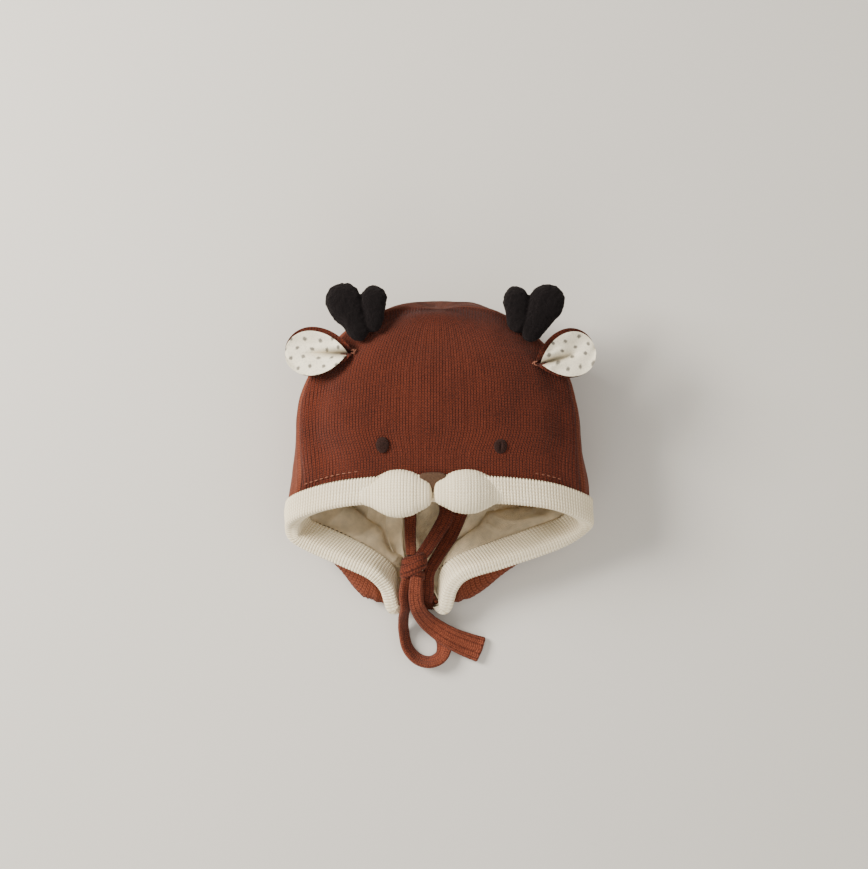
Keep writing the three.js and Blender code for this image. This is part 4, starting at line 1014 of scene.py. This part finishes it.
# Columns: out, along and up as shares of the half width, the length and the height, and the roll in degrees
TIE_RUNS = {
    "tie_left_root": [
        [-0.2134, -0.5114, 0.1897, 0], [-0.2012, -0.4686, 0.225, 0], [-0.189, -0.4257, 0.2412, 0],
    ],
    "tie_left_loop": [
        [-0.2256, -0.4229, 0.3162, -20], [-0.2476, -0.4686, 0.3132, -55],
        [-0.2415, -0.5143, 0.2721, -62], [-0.2537, -0.5543, 0.1397, -62], [-0.2537, -0.6, 0.0662, -62],
        [-0.2256, -0.6571, 0.0574, -62], [-0.1524, -0.6943, 0.0559, -62],
        [-0.061, -0.7029, 0.0559, -62], [0.0122, -0.6829, 0.0529, -50], [0.0305, -0.64, 0.0412, -20],
        [-0.0183, -0.5971, 0.0324, 0], [-0.0732, -0.5686, 0.0618, 0], [-0.122, -0.5429, 0.1441, 0],
        [-0.15, -0.5143, 0.2353, 0], [-0.1585, -0.48, 0.2765, 0], [-0.1585, -0.4343, 0.2926, 0],
    ],
    "tie_left_end": [
        [-0.2012, -0.3229, 0.25, 0], [-0.2073, -0.2743, 0.1544, 20], [-0.2073, -0.2114, 0.1118, 20],
        [-0.2256, -0.1429, 0.0971, 0], [-0.2683, -0.0686, 0.0971, 0], [-0.3049, -0.0114, 0.0971, 0],
    ],
    "tie_right_root": [
        [-0.0915, -0.5029, 0.1941, 0], [-0.0829, -0.4571, 0.2441, 0], [-0.0793, -0.4086, 0.2485, 0],
        [-0.0171, -0.3543, 0.1765, 0], [0.0854, -0.28, 0.1059, 0], [0.1463, -0.2114, 0.0941, 0],
        [0.1951, -0.1486, 0.0941, 0], [0.25, -0.08, 0.0941, 0], [0.2378, -0.0171, 0.0941, 0],
        [0.1463, 0.0114, 0.0941, 0], [0.0549, -0.0171, 0.0941, 0], [0.0244, -0.08, 0.1, 0],
        [0.0366, -0.1486, 0.1397, 0], [0.0488, -0.2114, 0.1765, 0], [-0.0122, -0.2686, 0.2059, 0],
        [-0.0793, -0.3143, 0.2647, 0],
    ],
    "tie_right_end": [
        [-0.1646, -0.4286, 0.3471, 0], [-0.1707, -0.4743, 0.3324, 0], [-0.1561, -0.5143, 0.3, 0],
        [-0.1037, -0.5571, 0.1971, 0], [-0.0305, -0.5886, 0.1294, 0], [0.061, -0.6171, 0.1088, 0],
        [0.1707, -0.6429, 0.0588, 0], [0.2988, -0.6657, 0.0265, 0],
    ],
}
TIE_ROLL = 0.9  # share of the drawn roll that the soft straps take
TIE_INSIDE, TIE_RAISE = -0.28, 0.02  # past this share of the length the straps clear the creased lining
TIE_STEP, TIE_SIDES, TIE_ROUND = 0.7, 28, 0.75
HEM_HEIGHT, HEM_AT, HEM_WIDTH = 0.6, 1.8, 1.2
# How far each run goes on into the knot at its start and its end
INTO_KNOT = {"tie_left_root": (0, 4), "tie_left_loop": (2, 4), "tie_left_end": (5, 0),
             "tie_right_root": (0, 9), "tie_right_end": (3, 0)}
TIE_FAR_ENDS = {"tie_left_loop": "knot", "tie_left_end": "bare", "tie_right_root": "knot",
                "tie_right_end": "bare"}


def strap(run, widths, thickness, into):
    """A flat knitted tube along a path: a squared oval section kept level but for its roll, closed by a
    square root over its last millimetre, with a hem in the shape of a bell at a bare end."""
    rows = np.asarray(run, float) * [*SIZES, TIE_ROLL]
    rows[0, :3] += unit(rows[0, :3] - rows[1, :3]) * into[0]
    rows[-1, :3] += unit(rows[-1, :3] - rows[-2, :3]) * into[1]
    t = np.linspace(0, 1, 1200)
    line = spline(rows[:, :3], t)
    arc = run_length(line)
    at = np.linspace(0, arc[-1], int(arc[-1] / TIE_STEP) + 2)
    path = sample(at, arc, line)
    roll = np.radians(np.interp(np.interp(at, arc, t), np.linspace(0, 1, len(rows)), rows[:, 3]))
    tangent = unit(np.gradient(path, axis=0))
    level = unit(np.cross([0, 0, 1.0], tangent))
    up = np.cross(tangent, level)
    side = level * np.cos(roll)[:, None] + up * np.sin(roll)[:, None]
    top = up * np.cos(roll)[:, None] - level * np.sin(roll)[:, None]
    wide = np.interp(at / arc[-1], np.linspace(0, 1, len(widths)), widths) / 2
    closed = np.sqrt(np.clip(np.minimum(at, arc[-1] - at) / 0.8, 0.02, 1))
    hem = 1 + (HEM_HEIGHT * bell(arc[-1] - at, HEM_AT, HEM_WIDTH) if into[1] == 0 else 0)
    angle = math.tau * np.arange(TIE_SIDES) / TIE_SIDES
    cos, sin = squared(np.cos(angle), TIE_ROUND), squared(np.sin(angle), 0.9)
    edge_roll = 1 + 0.22 * np.cos(angle * 2) * np.abs(np.sin(angle))
    thick = thickness / 2 * closed * hem
    sections = (path[:, None] + (wide * closed)[:, None, None] * cos[None, :, None] * side[:, None]
                + thick[:, None, None] * (sin * edge_roll)[None, :, None] * top[:, None])
    uv = tube_uv(0.62 * np.arange(1, TIE_SIDES + 1)[None], at[:, None], sections.shape[:2])
    return sections, uv, path, arc[-1]


def tie_piece(name, widths):
    """One run of a tie: it lies a little higher on the creased lining than on the drawn one."""
    run = np.array(TIE_RUNS[name])
    run[:, 2] += TIE_RAISE * (run[:, 1] > TIE_INSIDE)
    sections, uv, path, length = strap(run, widths, TIE_THICKNESS, INTO_KNOT[name])
    sections = sections + 0.25 * lumps(sections, 5.0, 21)[..., None] * [0, 0, 1]
    sections[..., 2] = np.maximum(sections[..., 2], 0.15)
    points, faces = tube(metres(sections))
    # The root straps take the tie knit painted darker, as painted shade under the muzzle.
    finish = material("tie_painted_shade" if "root" in name else "tie")
    obj = make_object(f"{name}_strap", points, faces, "tie_knit", finish, uv, (name,))
    return obj, metres(path), length / 1000


KNOT_AT = np.array([-0.183, -0.3771, 0.2941]) * SIZES
# Half width, half height, slant, shift across and along, and the strap's width of each turn
KNOT_TURNS = (
    (5.4, 3.4, 0.3, 0.2, 2.6, 6.4),
    (6.2, 4.4, 0.5, 0.0, -1.4, 7.4),
    (5.4, 3.6, -0.35, -0.4, -4.2, 5.6),
)
KNOT_THICKNESS, KNOT_STEPS, KNOT_SIDES = 3.4, 121, 24


def knot_piece():
    """The knot: flat straps wound round one another in slanting ovals, two one way and one over them."""
    turn = np.linspace(0, math.tau, 25)
    fine = np.linspace(0, 1, KNOT_STEPS)
    angle = math.tau * np.arange(KNOT_SIDES) / KNOT_SIDES
    turns, uvs = [], []
    for wide, tall, slant, right, up, width in KNOT_TURNS:
        x = wide * np.cos(turn)
        run = KNOT_AT + np.stack([right + x, up + slant * x, tall * np.sin(turn)], 1)
        normal = unit(np.stack([np.cos(turn) / wide, 0 * turn, np.sin(turn) / tall], 1))
        tangent = unit(np.gradient(run, axis=0))
        tangent[0] = tangent[-1] = unit(tangent[0] + tangent[-1])
        side = unit(np.cross(tangent, normal))
        path, out, across = (spline(v, fine)[:, None] for v in (run, normal, side))
        cos = squared(np.cos(angle), TIE_ROUND)[None, :, None]
        sections = (path + width / 2 * cos * across
                    + KNOT_THICKNESS / 2 * np.sin(angle)[None, :, None] * out)
        sections = sections + 0.35 * lumps(sections, 4.0, 31)[..., None] * out
        turns.append(tube(metres(sections)))
        uvs.append(tube_uv(angle[None] * 1.6, fine[:, None] * 32, sections.shape[:2]))
    # The knot takes the tie knit painted darker, as painted shade under the muzzle.
    return make_object("wound_knot", *joined(turns), "tie_knit", material("tie_painted_shade"),
                       np.concatenate(uvs), ("tie_knot",), merge=False)


# The stitches

THREAD_SIDES = 8
THREAD_CAP = np.array([[0, 1, 2, 3], [0, 3, 4, 7], [4, 5, 6, 7]])  # closes a ring of eight points


def stitches(name, centres, along, up, length, radius, kind, slot):
    """A row of stitches: the same short thread at each place, bowed by the square of the place along it,
    and thinned at its ends by the root of one less its fourth power, as one mesh."""
    angle = math.tau * np.arange(THREAD_SIDES) / THREAD_SIDES
    t, a = np.meshgrid(np.linspace(-1, 1, 7), angle, indexing="ij")
    thick = radius * np.sqrt(np.maximum(0.04, 1 - t**4))
    x = t * length / 2
    y = thick * np.cos(a)
    z = thick * np.sin(a) - 0.5 * radius * t**2
    side = np.cross(up, along)
    form = (centres[:, None, None] + x[None, ..., None] * along[:, None, None]
            + y[None, ..., None] * side[:, None, None] + z[None, ..., None] * up[:, None, None])
    n, m = t.shape
    one = np.concatenate([grid_faces(n, m, wrap_m=True), THREAD_CAP, THREAD_CAP[:, ::-1] + (n - 1) * m])
    faces = (one[None] + (np.arange(len(centres)) * n * m)[:, None, None]).reshape(-1, 4)
    uv = np.broadcast_to(np.stack([a * radius, x], -1)[None], form.shape[:-1] + (2,)).reshape(-1, 2)
    return make_object(name, metres(form.reshape(-1, 3)), faces, slot, material(kind), uv, merge=False)


def stitch_row(name, net, floor, span, from_edge, lift, pitch, length, radius, kind, slot):
    """Stitches along a line at a set distance from the face edge, outside the cloth or, with a lift
    below 0, inside it."""
    coarse = np.linspace(*span, 500)
    lengths = np.full((len(coarse), 1), from_edge)
    _, _, line, normal, _ = laid(net, floor, coarse, lengths=lengths)
    arc = run_length(line[:, 0])
    at = np.arange(pitch / 2, arc[-1], pitch)
    centres = sample(at, arc, line[:, 0])
    along = unit(np.gradient(centres, axis=0))
    up = unit(sample(at, arc, normal[:, 0])) * np.sign(lift)
    centres = centres + up * abs(lift)
    up = unit(up - along * (up * along).sum(1, keepdims=True))
    return stitches(name, centres, along, up, length, radius, kind, slot)


# The settings, the operators and the panel


def size_property(name, description):
    return FloatProperty(name=name, description=description, default=1.75, min=0.8, max=4)


def colour_property(name, description, value):
    return FloatVectorProperty(name=name, description=description, subtype="COLOR", size=4, min=0, max=1,
                               default=value)


class BonnetSettings(bpy.types.PropertyGroup):
    """Sizes and colours that a maker would change."""

    wale: size_property("Wale", "Width of a knitted column, in millimetres")
    rib: size_property("Rib", "Width of a rib of the cream band, in millimetres")
    knit_colour: colour_property("Knit", "Colour of the knit", rgb(103, 43, 23))
    cream_colour: colour_property("Cream", "Colour of the rib band and the puffs", rgb(255, 243, 214))
    cotton_colour: colour_property("Lining", "Colour of the cotton lining", rgb(252, 230, 190))
    antler_colour: colour_property("Antlers", "Colour of the plush", rgb(17, 9, 9))
    nose_colour: colour_property("Nose", "Colour of the nose", rgb(110, 82, 62))


class BONNET_OT_knit(bpy.types.Operator):
    """Makes the front and back panels of the knit"""

    bl_idname = "bonnet.knit"
    bl_label = "Knit panels"

    def execute(self, context):
        start, end = SEAM_STATION - SEAM_SLIT, SEAM_STATION + SEAM_SLIT
        knit_panel("knit_front", np.linspace(-start, start, FRONT_COLUMNS), ("crown_front",), True)
        knit_panel("knit_back", np.linspace(end, AROUND - end, BACK_COLUMNS), ("crown_back",), False)
        return {"FINISHED"}


class BONNET_OT_lining(bpy.types.Operator):
    """Makes the creased cotton lining"""

    bl_idname = "bonnet.lining"
    bl_label = "Lining"

    def execute(self, context):
        lining_piece()
        return {"FINISHED"}


class BONNET_OT_band(bpy.types.Operator):
    """Makes the ribbed face band"""

    bl_idname = "bonnet.band"
    bl_label = "Face band"

    def execute(self, context):
        band_piece()
        return {"FINISHED"}


class BONNET_OT_face(bpy.types.Operator):
    """Makes the muzzle puffs, the nose and the eyes"""

    bl_idname = "bonnet.face"
    bl_label = "Muzzle, nose and eyes"

    def execute(self, context):
        for side in (-1, 1):
            puff_piece(side)
        nose_piece()
        for name in EYES:
            eye_piece(name)
        return {"FINISHED"}


class BONNET_OT_ears(bpy.types.Operator):
    """Makes the two layers of each ear and the thread at its root"""

    bl_idname = "bonnet.ears"
    bl_label = "Ears"

    def execute(self, context):
        for name in EARS:
            ear_layer(name, "back", -EAR_WALL - 3 * GAP, 1.0, "rust_knit", "knit")
            ear_layer(name, "front", 0.35, EAR_FRONT, "ear_cotton", "ear")
            ear_stitch(name)
        return {"FINISHED"}


class BONNET_OT_antlers(bpy.types.Operator):
    """Makes the plush antlers"""

    bl_idname = "bonnet.antlers"
    bl_label = "Antlers"

    def execute(self, context):
        for side in (-1, 1):
            antler_piece(side)
        return {"FINISHED"}


class BONNET_OT_ties(bpy.types.Operator):
    """Makes the ties and their knot"""

    bl_idname = "bonnet.ties"
    bl_label = "Ties"

    def execute(self, context):
        root, _, _ = tie_piece("tie_left_root", [TIE_WIDTH] * 2)
        knot = knot_piece()
        widths = {
            "tie_left_loop": [7, 8.5, 9.5, 9.5, 8, 7], "tie_left_end": [6, 7, 8, 8.5],
            "tie_right_root": [7, 7, 8, 8, 9, 9, 7], "tie_right_end": [7, 8, 9.5, 11.5, 13.5, 15.3],
        }
        for name, far_end in TIE_FAR_ENDS.items():
            obj, path, length = tie_piece(name, widths[name])
            path[::6].tolist() + [path[-1].tolist()]
        return {"FINISHED"}


class BONNET_OT_stitches(bpy.types.Operator):
    """Makes the rows of stitches beside the band"""

    bl_idname = "bonnet.stitches"
    bl_label = "Stitches"

    def execute(self, context):
        for name, span in (("left", (-3.3, -1.5)), ("right", (1.9, 4.4))):
            stitch_row(f"topstitch_{name}", NET, KNIT_FLOOR, span, BAND_WIDTH + 4, KNIT + 0.15,
                       3.4, 2.4, 0.33, "pale_thread", "rust_knit")
        stitch_row("lining_stitch", COTTON_NET, LINING_FLOOR, (-BAND_END + 0.6, BAND_END - 0.6),
                   BAND_WIDTH + 1.3, -(LINING + 0.35), 2.6, 1.6, 0.3, "dark_thread", "cotton_lining")
        return {"FINISHED"}


FLOOR_REACH, FLOOR_DROP = 3.0, -0.0004
# Name, place, watts, size and tint of each light
LIGHTS = (
    ("key", (-0.95, 0.42, 0.76), 35.0, 0.5, (1.0, 0.97, 0.92)),
    ("fill", (0.7, 0.1, 1.2), 4.6, 1.2, (1.0, 0.97, 0.93)),
    ("front", (-0.2, -1.0, 0.7), 6.0, 0.9, (1.0, 0.98, 0.95)),
)
ROOM_TINT, ROOM_STRENGTH = (1.0, 0.98, 0.95, 1), 0.56
LENS, SENSOR, CAMERA_AT = 74.0, 36.0, (-3.36, 8.12, 1034.0)


class BONNET_OT_stage(bpy.types.Operator):
    """Makes the floor, the lights and the camera"""

    bl_idname = "bonnet.stage"
    bl_label = "Stage"

    def execute(self, context):
        scene = bpy.context.scene
        mesh = bpy.data.meshes.new("floor")
        corners = [(x * FLOOR_REACH, y * FLOOR_REACH, FLOOR_DROP)
                   for x, y in ((-1, -1), (1, -1), (1, 1), (-1, 1))]
        mesh.from_pydata(corners, [], [(0, 1, 2, 3)])
        floor = bpy.data.objects.new("floor", mesh)
        scene.collection.objects.link(floor)
        n = Nodes("floor_paper", 0.85)
        mesh.materials.append(n.finish(n.mix(n.noise(0.004, 2.0), rgb(208, 203, 193), rgb(214, 209, 200))))
        for name, place, energy, size, tint in LIGHTS:
            light = bpy.data.lights.new(name, "AREA")
            light.energy, light.size, light.color = energy, size, tint
            lamp = bpy.data.objects.new(name, light)
            lamp.location = place
            lamp.rotation_euler = (Vector((0, 0, 0.03)) - Vector(place)).to_track_quat("-Z", "Y").to_euler()
            scene.collection.objects.link(lamp)
        world = bpy.data.worlds.new("room")
        world.use_nodes = True
        world.node_tree.nodes["Background"].inputs["Color"].default_value = ROOM_TINT
        world.node_tree.nodes["Background"].inputs["Strength"].default_value = ROOM_STRENGTH
        scene.world = world
        camera = bpy.data.cameras.new("camera")
        camera.lens, camera.sensor_width = LENS, SENSOR
        holder = bpy.data.objects.new("camera", camera)
        holder.location = metres(CAMERA_AT)
        scene.collection.objects.link(holder)
        scene.camera = holder
        return {"FINISHED"}


class BONNET_PT_panel(bpy.types.Panel):
    """Lists the bonnet's settings and its pieces"""

    bl_idname = "BONNET_PT_panel"
    bl_label = "Bonnet"
    bl_space_type = "VIEW_3D"
    bl_region_type = "UI"
    bl_category = "Bonnet"

    def draw(self, context):
        for name in BonnetSettings.__annotations__:
            self.layout.prop(context.scene.bonnet, name)
        for operator in OPERATORS:
            self.layout.operator(operator.bl_idname)


OPERATORS = (
    BONNET_OT_stage, BONNET_OT_ties, BONNET_OT_knit, BONNET_OT_lining, BONNET_OT_band, BONNET_OT_face,
    BONNET_OT_ears, BONNET_OT_antlers, BONNET_OT_stitches,
)
CLASSES = (BonnetSettings, *OPERATORS, BONNET_PT_panel)


def register():
    for cls in CLASSES:
        bpy.utils.register_class(cls)
    bpy.types.Scene.bonnet = PointerProperty(type=BonnetSettings)


def unregister():
    del bpy.types.Scene.bonnet
    for cls in reversed(CLASSES):
        bpy.utils.unregister_class(cls)


def main():
    """Makes every piece by its operator, in the order of the panel."""
    register()
    bpy.ops.bonnet.stage()
    bpy.ops.bonnet.ties()
    bpy.ops.bonnet.knit()
    bpy.ops.bonnet.lining()
    bpy.ops.bonnet.band()
    bpy.ops.bonnet.face()
    bpy.ops.bonnet.ears()
    bpy.ops.bonnet.antlers()
    bpy.ops.bonnet.stitches()
    bpy.context.view_layer.update()


if __name__ == "__main__":
    main()
